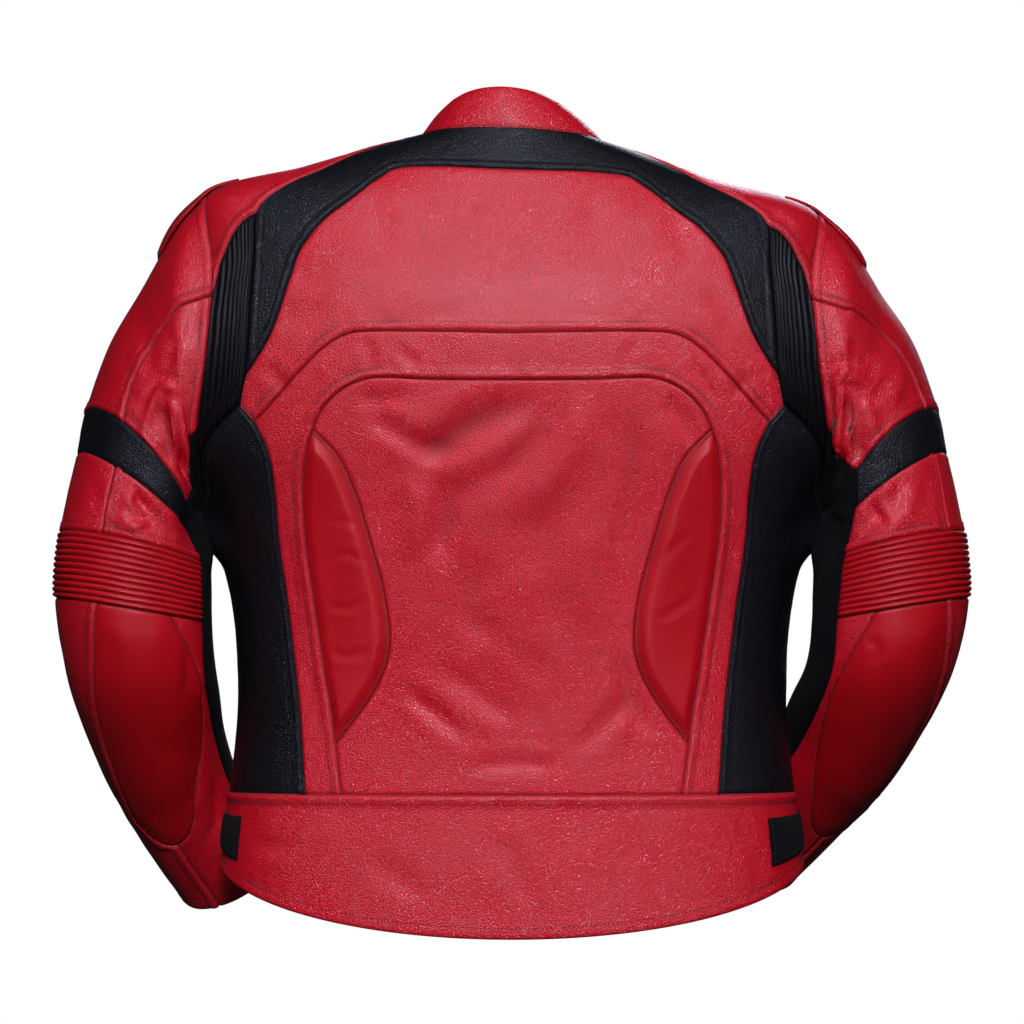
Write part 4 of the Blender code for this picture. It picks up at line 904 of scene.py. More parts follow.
@dataclass(frozen=True)
class ShellFinish:
    """Hard lacquered plastic with light scratches."""
    name: str
    base: tuple[float, float, float]

    def build(self) -> bpy.types.Material:
        """A gloss lacquer over a coloured base."""
        s = Shader(self.name)
        place = s.value("ShaderNodeMapping", None, {"Vector": s.place(), "Scale": (1.0, 6.0, 1.0)})
        scratch = s.noise(1.6 * MM, 6.0, place).between(0.62, 0.72)
        haze = s.noise(18 * MM, 3.0)
        tint = s.mix(haze * 0.5, colour(*self.base), colour(*(c * 0.7 for c in self.base)))
        return s.finish(Base_Color=tint, Roughness=scratch * 0.16 + haze * 0.08 + 0.10, Coat_Weight=0.8,
                        Coat_Roughness=0.06, Normal=s.bump(scratch, 0.02 * MM, 0.4))


@dataclass(frozen=True)
class MetalFinish:
    """Worn zip metal."""
    name: str
    base: tuple[float, float, float]
    rough: float = 0.28

    def build(self) -> bpy.types.Material:
        """Metal with fine brushing and a tone that varies at random."""
        s = Shader(self.name)
        brush = s.noise(0.5 * MM, 5.0)
        haze = s.noise(4 * MM, 3.0)
        tint = s.mix(haze, colour(*(c * 0.6 for c in self.base)), colour(*self.base))
        return s.finish(Base_Color=tint, Metallic=1.0, Roughness=brush * 0.15 + (self.rough - 0.05),
                        Normal=s.bump(brush, 0.02 * MM, 0.5))


@dataclass(frozen=True)
class ThreadFinish:
    """Twisted bonded thread."""
    name: str
    base: tuple[float, float, float]

    def build(self) -> bpy.types.Material:
        """Thread with a fine twist."""
        s = Shader(self.name)
        twist = s.noise(0.25 * MM, 2.0)
        tint = s.mix(twist, colour(*(c * 0.5 for c in self.base)), colour(*self.base))
        return s.finish(Base_Color=tint, Roughness=0.6, Normal=s.bump(twist, 0.05 * MM))


@dataclass(frozen=True)
class GroundFinish:
    """The pale studio floor."""
    name: str = "studio_floor"

    def build(self) -> bpy.types.Material:
        """A matt pale paint, as bright as its evenly lit studio."""
        s = Shader(self.name)
        cloudy = s.noise(0.4, 2.0)
        tint = s.mix(cloudy, colour(0.80, 0.80, 0.80), colour(0.86, 0.86, 0.86))
        return s.finish(Base_Color=tint, Roughness=0.8, Emission_Color=tint, Emission_Strength=0.9)


class Wardrobe:
    """All finishes of the jacket, each built once."""

    red = LeatherFinish("red_leather", "red_leather", (0.790, 0.002, 0.016), (0.450, 0.001, 0.008),
                        (0.760, 0.010, 0.028))
    red_smooth = LeatherFinish("smooth_red_leather", "smooth_red_leather", (0.600, 0.002, 0.008),
                               (0.440, 0.001, 0.005), (0.640, 0.010, 0.022), pebble=1.5 * MM,
                               grain=0.16 * MM, rough=0.40, spread=0.08, coat=0.03, shine=0.36)
    black = LeatherFinish("black_leather", "black_leather", (0.004, 0.005, 0.007), (0.001, 0.001, 0.002),
                          (0.010, 0.012, 0.016), pebble=2.2 * MM, grain=0.45 * MM, rough=0.42,
                          spread=0.10, coat=0.02, shine=0.32)
    # The ribs' own copy of the black leather: its darker colour is painted shade among the ribs.
    ribbed = LeatherFinish("ribbed_black_leather", "black_leather", (0.003, 0.003, 0.004),
                           (0.001, 0.001, 0.001), (0.006, 0.007, 0.009), pebble=1.6 * MM,
                           grain=0.12 * MM, rough=0.34, spread=0.06, coat=0.0, shine=0.16)
    stretch = WeaveFinish("stretch_fabric", "stretch_fabric", (0.0015, 0.0015, 0.0015),
                          (0.005, 0.005, 0.0055), 1.8 * MM, 0.9 * MM, 0.35 * MM)
    tape = WeaveFinish("zip_tape", "hook_fabric", (0.004, 0.004, 0.004), (0.018, 0.018, 0.019),
                       0.8 * MM, 0.5 * MM, 0.12 * MM)
    hook = WeaveFinish("hook_fabric", "hook_fabric", (0.002, 0.002, 0.002), (0.010, 0.010, 0.011),
                       1.4 * MM, 1.2 * MM, 0.6 * MM, 0.5)
    guard = ShellFinish("guard_lacquer", (0.50, 0.006, 0.014))
    metal = MetalFinish("zip_metal", (0.42, 0.43, 0.45))
    red_thread = ThreadFinish("dark_red_thread", (0.060, 0.002, 0.004))
    black_thread = ThreadFinish("black_thread", (0.012, 0.012, 0.014))
    red_flesh = FleshFinish("red_flesh_side", (0.110, 0.012, 0.014))
    black_flesh = FleshFinish("black_flesh_side", (0.020, 0.020, 0.021))

    def __init__(self) -> None:
        """Start with nothing built."""
        self.built: dict[str, bpy.types.Material] = {}

    def material(self, finish: Any) -> bpy.types.Material:
        """The material of a finish."""
        if finish.name not in self.built:
            self.built[finish.name] = finish.build()
        return self.built[finish.name]

    def inside(self, finish: Any) -> bpy.types.Material:
        """The material of the inner side of a wall."""
        red = finish in (self.red, self.red_smooth)
        return self.material(self.red_flesh if red else self.black_flesh)


WARDROBE = Wardrobe()


# ---------------------------------------------------------------- panels

class Edge(Enum):
    """The four edges of a panel's grid."""
    BOTTOM = "bottom"
    RIGHT = "right"
    TOP = "top"
    LEFT = "left"


@dataclass(frozen=True)
class Hemming:
    """How an edge is finished: its roll into the seam, its raised welt and its stitch row."""
    roll: float = 1.5
    roll_width: float = 1.3
    welt: float = 0.0
    stitch: float = 0.0
    pucker: float = 0.12
    shade: float = 0.7
    tuck: float = 1.1

    def height(self, away: Array, along: Array) -> Array:
        """The relief in metres at a distance from the edge.

        Args:
            away: distance from the edge in metres.
            along: smooth noise along the edge that varies the puckers.

        Returns:
            Heights, positive outwards.
        """
        d = away / MM
        total = -self.roll * np.exp(-(d / self.roll_width) ** 2)
        reach = (self.stitch or 5.0) * 1.9
        if self.stitch:
            total += self.welt * smooth(d / 2.5) * smooth((self.stitch - d) / 1.6)
            total -= 0.55 * np.exp(-((d - self.stitch) / 0.9) ** 2)
        total += self.pucker * along * smooth(d / 2) * smooth((reach - d) / (reach * 0.6))
        return total * MM

    def darkness(self, away: Array) -> Array:
        """Where the seam and the stitch row hold shade and dirt."""
        d = away / MM
        total = self.shade * np.exp(-(d / 0.9) ** 2)
        if self.stitch:
            total += 0.45 * np.exp(-((d - self.stitch) / 0.75) ** 2)
        return total


PLAIN = Hemming()
UNDER = Hemming(pucker=0.16)
TOPSTITCHED = Hemming(roll=1.2, roll_width=0.9, welt=0.9, stitch=7.0, pucker=0.42)
CLOSE = Hemming(roll=1.0, roll_width=0.9, welt=0.3, stitch=2.4, pucker=0.22)
TURNED = Hemming(roll=0.5, roll_width=1.2, welt=0.35, stitch=9.0, pucker=0.20, shade=0.0, tuck=0.0)
FREE = Hemming(roll=0.6, roll_width=1.4, pucker=0.05, shade=0.1, tuck=0.0)
ZIP_EDGE = Hemming(roll=1.2, roll_width=0.9, welt=0.9, stitch=7.0, pucker=0.42, tuck=0.0)
TAB_EDGE = Hemming(roll=0.9, roll_width=1.6, stitch=3.0, pucker=0.1, shade=0.2, tuck=0.0)
TAPE_EDGE = Hemming(roll=0.2, pucker=0.0, shade=0.3, tuck=0.0)
RIM = Hemming(roll=1.1, roll_width=2.2, pucker=0.05, shade=0.0, tuck=0.0)



def hems(**kinds: Hemming) -> dict[Edge, Hemming]:
    """The finishes of a panel's edges by their names; the others are plain."""
    return {Edge(name): kind for name, kind in kinds.items()}


Boundary = list[Array]
SeamAngle = Callable[[Any], Array]
Relief = Callable[["PanelGrid"], Array]


@dataclass
class PanelGrid:
    """A panel's grid: loft coordinates, bare points and the distance of each point from each edge."""
    coords: Array
    points: Array
    away: dict[Edge, Array]
    run: dict[str, Array]

    def share(self, axis: str) -> Array:
        """How far across the panel each point lies, from 0 to 1."""
        first, last = (Edge.LEFT, Edge.RIGHT) if axis == "u" else (Edge.BOTTOM, Edge.TOP)
        total = self.away[first] + self.away[last]
        return self.away[first] / np.maximum(total, 1e-9)


@dataclass
class Panel:
    """One cut piece of the garment on a loft, made as a fine wall in place of its CAD node."""
    name: str
    surface: Surface
    bottom: Boundary
    right: Boundary
    top: Boundary
    left: Boundary
    finish: Any
    side: int = 1
    edges: dict[Edge, Hemming] = field(default_factory=dict)
    relief: Relief | None = None
    spacing: float = 3.0 * MM
    ribs: tuple[str, int] | None = None
    thickness: float = LEATHER
    lift: float = 0.0
    rests_on: tuple[str, ...] = ()
    held: str = "stretched"
    undulation: float = 1.0
    creased: bool = True
    twist: int = 0
    breadth: float = 0.0

    def stations(self, a: Array, b: Array, first: bool, last: bool, axis: str) -> Array:
        """Shares along two facing parts where the grid has its lines, closer near the panel's edges."""
        length = max((self.length(a) + self.length(b)) / 2, self.breadth)
        if self.ribs and self.ribs[0] == axis:
            return np.linspace(0, 1, self.ribs[1] * 8 + 1)
        near = np.array([0.0, 0.7, 1.5, 2.4, 3.6]) * MM
        low = near if first else near[:1]
        high = length - near[::-1] if last else np.array([length])
        if low[-1] >= high[0]:
            return np.linspace(0, 1, 5)
        middle = np.linspace(low[-1], high[0], max(2, int(round((high[0] - low[-1]) / self.spacing)) + 1))
        return np.concatenate([low[:-1], middle, high[1:]]) / length

    def length(self, curve: Array) -> float:
        """Length of a loft curve in space."""
        return float(np.linalg.norm(np.diff(self.surface.points(curve), axis=0), axis=1).sum())

    def sampled(self, curve: Array, shares: Array) -> Array:
        """A loft curve at shares of its length."""
        along = run_along(self.surface.points(curve))
        if along[-1] < 1e-9:
            along = np.linspace(0, 1, len(curve))
        return np.stack([np.interp(shares * along[-1], along, curve[:, k]) for k in (0, 1)], axis=1)

    def facing(self, one: Boundary, other: Boundary, axis: str) -> tuple[Array, Array, Array]:
        """Two facing boundaries sampled at the same stations, with the shares of the whole."""
        sampled, parts, start = ([], []), [], 0.0
        weights = [(self.length(a) + self.length(b)) / 2 for a, b in zip(one, other)]
        for k, (a, b) in enumerate(zip(one, other)):
            shares = self.stations(a, b, k == 0, k == len(one) - 1, axis)
            skip = 1 if k else 0
            sampled[0].append(self.sampled(a, shares)[skip:])
            sampled[1].append(self.sampled(b, shares)[skip:])
            parts.append((start + shares * weights[k])[skip:])
            start += weights[k]
        return np.concatenate(sampled[0]), np.concatenate(sampled[1]), np.concatenate(parts) / start

    def grid(self) -> PanelGrid:
        """The panel's grid over its four seams."""
        bottom, top, u = self.facing(self.bottom, self.top, "u")
        left, right, v = self.facing(self.left, self.right, "v")
        u, v = u[None, :, None], v[:, None, None]
        corners = ((1 - u) * (1 - v) * bottom[0] + u * (1 - v) * bottom[-1]
                   + (1 - u) * v * top[0] + u * v * top[-1])
        coords = (1 - v) * bottom[None] + v * top[None] + (1 - u) * left[:, None] + u * right[:, None]
        coords = coords - corners
        if self.twist:
            coords[..., 0] += self.twist * np.interp(coords[..., 1], *np.array(SLEEVE_TWIST, float).T)
        points = self.surface.points(coords)
        away = {}
        for axis, (first, last) in ((1, (Edge.LEFT, Edge.RIGHT)), (0, (Edge.BOTTOM, Edge.TOP))):
            steps = np.linalg.norm(np.diff(points, axis=axis), axis=-1)
            pad = [(0, 0), (0, 0)]
            pad[axis] = (1, 0)
            run = np.cumsum(np.pad(steps, pad), axis=axis)
            total = run[:, -1:] if axis == 1 else run[-1:]
            away[first] = run * self.slant(points, axis, 0)
            away[last] = (total - run) * self.slant(points, axis, -1)
        run = {"u": np.cumsum(np.pad(np.linalg.norm(np.diff(points, axis=1), axis=-1).mean(axis=0), (1, 0))),
               "v": np.cumsum(np.pad(np.linalg.norm(np.diff(points, axis=0), axis=-1).mean(axis=1), (1, 0)))}
        coords = self.tucked(coords)
        return PanelGrid(coords, self.surface.points(coords), away, run)

    def tucked(self, coords: Array) -> Array:
        """The grid with its edges carried a little past the seams, so that no light shows between."""
        for edge, lines in ((Edge.BOTTOM, coords), (Edge.TOP, coords[::-1]),
                            (Edge.LEFT, coords.swapaxes(0, 1)), (Edge.RIGHT, coords.swapaxes(0, 1)[::-1])):
            lines[0] += (lines[0] - lines[1]) * self.edges.get(edge, PLAIN).tuck
        return coords

    @staticmethod
    def slant(points: Array, axis: int, end: int) -> Array:
        """The sine between the grid lines and the edge that they start from."""
        lines = points if axis == 1 else points.swapaxes(0, 1)
        edge = lines[:, end]
        inner = lines[:, min(6, lines.shape[1] - 1) if end == 0 else -min(7, lines.shape[1])]
        along = np.gradient(edge, axis=0)
        inward = inner - edge
        along /= np.maximum(np.linalg.norm(along, axis=-1, keepdims=True), 1e-12)
        inward /= np.maximum(np.linalg.norm(inward, axis=-1, keepdims=True), 1e-12)
        sine = np.clip(np.linalg.norm(np.cross(along, inward), axis=-1), 0.25, 1)
        return sine[:, None] if axis == 1 else sine[None, :]

    def shape(self, grid: PanelGrid) -> tuple[Array, Array, Array]:
        """The finished face: points, outward normals and the painted shade of its seams, rib valleys and deep
        folds, with seam dirt.
        """
        mirror = np.array([self.side, 1, 1])
        points, out = grid.points * mirror, self.surface.normals(grid.coords) * mirror
        if self.surface in (TRUNK, COLLAR):
            flip = np.where(grid.coords[..., :1] < 0, [-1, 1, 1], 1)
            here = grid.coords * np.where(grid.coords[..., :1] < 0, [-1, 1], 1)
            out = self.surface.normals(here) * flip * mirror
        height = np.full(points.shape[:2], self.lift)
        dark = np.zeros(points.shape[:2])
        for edge in Edge:
            hemming = self.edges.get(edge, PLAIN)
            along = noise(points, 7 * MM, 3.0 + len(edge.value)) + 0.6 * noise(points, 4 * MM, 8.0)
            height += hemming.height(grid.away[edge], along)
            dark = np.maximum(dark, hemming.darkness(grid.away[edge]))
        if self.relief:
            height += self.relief(grid)
        if self.ribs:
            rise, hollow = self.rib_profile(grid, points)
            height += rise
            dark = np.maximum(dark, hollow)
        waves = self.undulation * MM
        height += waves * (0.55 * noise(points, 60 * MM, 1.0) + 0.32 * noise(points, 26 * MM, 2.0)
                           + 0.10 * noise(points, 11 * MM, 5.0))
        if self.creased:
            pressed = sum(crease.press(points) for crease in CREASES)
            height -= pressed
            # painted shade: the deeper a fold presses in, the darker its colour
            dark = np.maximum(dark, np.clip(pressed / MM - 1.6, 0, 5) * 0.12)
        return settled(points + out * height[..., None]), out, np.clip(dark, 0, 1)

    def rib_profile(self, grid: PanelGrid, points: Array) -> tuple[Array, Array]:
        """Rounded tucks side by side, fading at both ends, and the shade between them."""
        axis, count = self.ribs
        wobble = 0.10 * noise(points, 22 * MM, 6.0)
        phase = np.clip(grid.share(axis) * count, 0, count)
        inside = np.abs(np.sin(np.pi * np.clip(phase + wobble * smooth(phase) * smooth(count - phase),
                                               0, count)))
        ends = (Edge.BOTTOM, Edge.TOP) if axis == "u" else (Edge.LEFT, Edge.RIGHT)
        fade = smooth(grid.away[ends[0]] / (5 * MM)) * smooth(grid.away[ends[1]] / (5 * MM))
        crest = inside ** 0.72 * (1 + 0.20 * noise(points, 15 * MM, 7.0))
        return crest * RIB_HEIGHT * fade, (1 - np.clip(inside * 1.9, 0, 1)) * 0.9 * fade

    def build(self) -> None:
        """Make the wall and its stitch rows, attach it to the jacket and hide its CAD node."""
        grid = self.grid()
        points, out, dark = self.shape(grid)
        rows, columns = dark.shape
        bm = bmesh.new()
        bmesh.ops.create_grid(bm, x_segments=columns - 1, y_segments=rows - 1, size=0.5)
        mesh = mesh_of(self.name, bm)
        flat = np.zeros(len(mesh.vertices) * 3)
        mesh.vertices.foreach_get("co", flat)
        flat = flat.reshape(-1, 3) + 0.5
        column = np.round(flat[:, 0] * (columns - 1)).astype(int)
        row = np.round(flat[:, 1] * (rows - 1)).astype(int)
        mesh.vertices.foreach_set("co", points[row, column].ravel())
        # the crease attribute carries painted shade and seam dirt to the materials
        mesh.attributes.new("crease", "FLOAT", "POINT").data.foreach_set("value", dark[row, column])
        corners = np.zeros(len(mesh.loops), int)
        mesh.loops.foreach_get("vertex_index", corners)
        uv = np.stack([grid.run["u"][column[corners]], grid.run["v"][row[corners]]], axis=1)
        mesh.uv_layers.new(name="Panel").uv.foreach_set("vector", uv.ravel())
        mesh.update()
        facing = np.cross(np.gradient(points, axis=1), np.gradient(points, axis=0))
        if (facing * out).sum() < 0:
            mesh.flip_normals()
        shade_smooth(mesh)
        mesh.materials.append(WARDROBE.material(self.finish))
        mesh.materials.append(WARDROBE.inside(self.finish))
        piece = placed(f"{self.name}_skin", mesh)
        wall = piece.modifiers.new("wall", "SOLIDIFY")
        wall.thickness, wall.offset, wall.material_offset = self.thickness, -1.0, 1
        wall.use_even_offset = False
        self.stitch_rows(grid, points, out)
        self.declare(piece, points)

    def declare(self, piece: bpy.types.Object, points: Array) -> None:
        """Attach the piece to the jacket, hide the CAD node that it stands for and log its size."""
        across = np.linalg.norm(np.diff(points, axis=1), axis=-1)
        along = np.linalg.norm(np.diff(points, axis=0), axis=-1)
        width, length = across.sum(axis=1).max(), along.sum(axis=0).max()
        width, length = max(width, NARROWEST_CUT), max(length, NARROWEST_CUT)
        u, v = points[:-1, 1:] - points[:-1, :-1], points[1:, :-1] - points[:-1, :-1]
        area = float(np.linalg.norm(np.cross(u, v), axis=-1).sum())
        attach(piece, JACKET)
        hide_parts(self.name)
        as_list(self.rests_on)
        log.info("%s: %d points, %.0f x %.0f mm", piece.name, points.shape[0] * points.shape[1],
                 width / MM, length / MM)

    def stitch_rows(self, grid: PanelGrid, points: Array, out: Array) -> None:
        """Sew a row of stitches along every edge that has one."""
        thread = WARDROBE.red_thread if WARDROBE.inside(self.finish).name.startswith("red") \
            else WARDROBE.black_thread
        for edge, hemming in self.edges.items():
            if hemming.stitch:
                line, normal = self.line_at(edge, grid, points, out, hemming.stitch * MM)
                if len(line) > 3:
                    SEWING.sew(line, normal, thread)

    def line_at(self, edge: Edge, grid: PanelGrid, points: Array, out: Array,
                distance: float) -> tuple[Array, Array]:
        """The line on the finished face at a distance from an edge."""
        away = grid.away[edge]
        sideways = edge in (Edge.LEFT, Edge.RIGHT)
        a = away if sideways else away.T
        p = points if sideways else points.swapaxes(0, 1)
        n = out if sideways else out.swapaxes(0, 1)
        ends = (Edge.BOTTOM, Edge.TOP) if sideways else (Edge.LEFT, Edge.RIGHT)
        clear = np.minimum(grid.away[ends[0]], grid.away[ends[1]])
        clear = clear if sideways else clear.T
        if edge in (Edge.RIGHT, Edge.TOP):
            a, p, n, clear = a[:, ::-1], p[:, ::-1], n[:, ::-1], clear[:, ::-1]
        line, normal = [], []
        for k in range(len(a)):
            if a[k, -1] < distance or np.interp(distance, a[k], clear[k]) < 0.8 * MM:
                continue
            line.append([np.interp(distance, a[k], p[k, :, c]) for c in range(3)])
            normal.append([np.interp(distance, a[k], n[k, :, c]) for c in range(3)])
        return np.array(line), np.array(normal)


@dataclass
class Sewing:
    """All stitches of one colour gathered into one mesh."""
    pitch: float = 3.5 * MM
    length: float = 2.4 * MM
    width: float = 0.85 * MM
    rows: dict[str, list[tuple[Array, Array]]] = field(default_factory=dict)
    finishes: dict[str, Any] = field(default_factory=dict)

    def sew(self, line: Array, normal: Array, thread: Any) -> None:
        """Remember a row of stitches along a line."""
        self.rows.setdefault(thread.name, []).append((line, normal))
        self.finishes[thread.name] = thread

    def build(self) -> None:
        """Make one mesh of small beads for each thread."""
        for name, rows in self.rows.items():
            bm = bmesh.new()
            count = sum(self.beads(bm, line, normal) for line, normal in rows)
            mesh = mesh_of(name, bm)
            shade_smooth(mesh)
            mesh.materials.append(WARDROBE.material(self.finishes[name]))
            piece = placed(f"{name}_stitches", mesh)
            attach(piece, JACKET)
            log.info("%s: %d stitches", piece.name, count)

    def beads(self, bm: bmesh.types.BMesh, line: Array, normal: Array) -> int:
        """Place one bead for each stitch and return how many there are."""
        along = run_along(line)
        places = np.arange(self.pitch / 2, along[-1], self.pitch)
        for at in places:
            here, up = at_run(at, along, line), at_run(at, along, normal).normalized()
            forward = at_run(at + self.length / 2, along, line) - here
            if forward.length < 1e-7:
                continue
            forward.normalize()
            sideways = up.cross(forward).normalized()
            frame = Matrix((forward * self.length / 2, sideways * self.width / 2,
                            up * self.width / 2)).transposed().to_4x4()
            bmesh.ops.create_icosphere(bm, subdivisions=1, radius=1.0,
                                       matrix=Matrix.Translation(here + up * 0.05 * MM) @ frame)
        return len(places)


SEWING = Sewing()


# ---------------------------------------------------------------- the trunk

class TrunkSeams:
    """Every seam of the trunk's right half as a dense curve in loft coordinates."""

    def __init__(self) -> None:
        """Find each seam from its table."""
        yoke = TRUNK.locate(YOKE_SEAM, (52, 6.8))
        yoke[-1, 0] = 0
        self.yoke = dense(yoke)
        cut = FINE_STEPS * 10
        self.yoke_tail, self.yoke_back = self.yoke[:cut + 1], self.yoke[cut:]
        blade = TRUNK.locate((NOTCH_TIP,) + RIB_INNER_SEAM, (50, 6.5))
        blade[1] = yoke[0]
        self.notch = dense([blade[0], blade[1]])
        self.rib_inner = dense(blade[1:])
        rib_top = TRUNK.locate(RIB_TOP_SEAM, blade[-1])
        self.rib_top = dense([blade[-1], *rib_top[1:], TRUNK.armhole(SHOULDER_TIP)])
        self.shoulder = dense([blade[-1], *SHOULDER_SEAM, (NECK_SHOULDER_ANGLE, NECK)])
        self.neck_back = dense([(NECK_SHOULDER_ANGLE, NECK), (0, NECK)])
        self.neck_side = dense([(NECK_SHOULDER_ANGLE, NECK), (NECK_FRONT_ANGLE, NECK)])
        self.neck_front = dense([(NECK_FRONT_ANGLE, NECK), TRUNK.zip_edge(NECK)])
        self.shoulder_front = dense([TRUNK.armhole(130.0), (NECK_FRONT_ANGLE, NECK)])
        arch = TRUNK.locate(UPPER_ARCH_SEAM, (52, 6.1))
        arch[-1, 0] = 0
        self.arch = dense(arch)
        self.tip = dense([arch[0], blade[0]])
        side = TRUNK.locate(SIDE_SEAM, (45, 2.0))
        side[0, 1], side[-1] = BELT, arch[0]
        self.side = dense(side)
        self.rib_bottom = dense([blade[0], TRUNK.armhole(-50.0)])
        inner = TRUNK.locate(INNER_ARCH_SEAM, (35, 2.0))
        inner[0, 1], inner[-1, 0] = BELT, 0
        fine = dense(inner)
        foot, head = FINE_STEPS * KIDNEY_FOOT, FINE_STEPS * KIDNEY_HEAD
        self.leg, self.kidney_out, self.inner_arch = fine[:foot + 1], fine[foot:head + 1], fine[head:]
        kidney = TRUNK.locate(KIDNEY_SEAM, (36, 2.6))
        kidney[0], kidney[-1] = self.leg[-1], self.inner_arch[0]
        self.kidney_in = dense(kidney)
        corner = (FRONT_SEAM_ANGLE, BELT)
        self.belt_side = dense([self.side[0], corner])
        self.belt_arch = dense([self.leg[0], self.side[0]])
        self.belt_back = dense([self.leg[0], (0, BELT)])
        self.belt_front = dense([corner, TRUNK.zip_edge(BELT)])
        self.flank = dense([corner, TRUNK.armhole(270.0)])

    @staticmethod
    def armhole(start: float, end: float) -> Array:
        """A stretch of the armhole between two of its angles."""
        return TRUNK.armhole(np.linspace(start, end, 60))


class Back:
    """The panels that cross the centre back, with the hem band's back."""

    def __init__(self, seams: TrunkSeams) -> None:
        """Keep the seams."""
        self.seams = seams

    def build(self) -> None:
        """Make the yoke, the upper back, the arch, the centre and the hem."""
        s = self.seams
        Panel("yoke", TRUNK, full_width([s.yoke_tail, s.yoke_back]), [s.rib_inner],
              full_width([s.shoulder, s.neck_back]), [mirrored(s.rib_inner)], WARDROBE.black,
              edges=hems(bottom=TOPSTITCHED, left=TOPSTITCHED, right=TOPSTITCHED),
              rests_on=("upper_back",), spacing=PLATE_SPACING).build()
        notch = joined(s.tip, s.notch)
        Panel("upper_back", TRUNK, full_width([s.arch]), [notch], full_width([s.yoke]), [mirrored(notch)],
              WARDROBE.red, edges=hems(bottom=TOPSTITCHED, top=UNDER, left=CLOSE, right=CLOSE),
              rests_on=("yoke",), spacing=PLATE_SPACING).build()
        Panel("back_arch", TRUNK, full_width([joined(s.leg, s.kidney_out), s.inner_arch]), [s.belt_arch],
              full_width([s.side, s.arch]), [mirrored(s.belt_arch)], WARDROBE.red,
              edges=hems(bottom=TOPSTITCHED, top=UNDER, left=UNDER, right=UNDER),
              rests_on=("upper_back",), spacing=PLATE_SPACING).build()
        edge = joined(s.leg, s.kidney_in)
        Panel("centre_back", TRUNK, full_width([s.belt_back]), [edge], full_width([s.inner_arch]),
              [mirrored(edge)], WARDROBE.red, edges={e: UNDER for e in Edge},
              rests_on=("back_arch",), spacing=PLATE_SPACING).build()
        line = np.concatenate(full_width([joined(s.belt_side[::-1], s.belt_arch[::-1], s.belt_back)]))
        ends = (line[0, 0], line[-1, 0])
        Panel("hem_back", TRUNK, [dense([(a, 0.0) for a in ends])], [upwards(ends[1], 0, BELT)],
              [dense([(a, BELT) for a in ends])], [upwards(ends[0], 0, BELT)], WARDROBE.red,
              edges=hems(top=TOPSTITCHED, bottom=TURNED),
              relief=lambda g: 0.8 * MM * smooth((9 * MM - g.away[Edge.TOP]) / (3 * MM)),
              rests_on=("back_arch",), spacing=PLATE_SPACING).build()


def kidney_pad(grid: PanelGrid) -> Array:
    """The kidney insert's stuffed form: highest just inside its inner seam."""
    inner, outer = grid.away[Edge.BOTTOM], grid.away[Edge.TOP]
    slope = smooth(inner / (11 * MM)) * (1 - 0.45 * smooth((inner - 9 * MM) / (36 * MM)))
    ends = np.minimum(grid.away[Edge.LEFT], grid.away[Edge.RIGHT])
    return KIDNEY_RISE * slope * smooth(outer / (9 * MM)) * smooth((ends + 6 * MM) / (26 * MM))


def elbow_pad(grid: PanelGrid) -> Array:
    """The elbow panel's soft dome."""
    nearest = np.minimum.reduce([grid.away[e] for e in Edge])
    return ELBOW_RISE * smooth(nearest / (34 * MM))


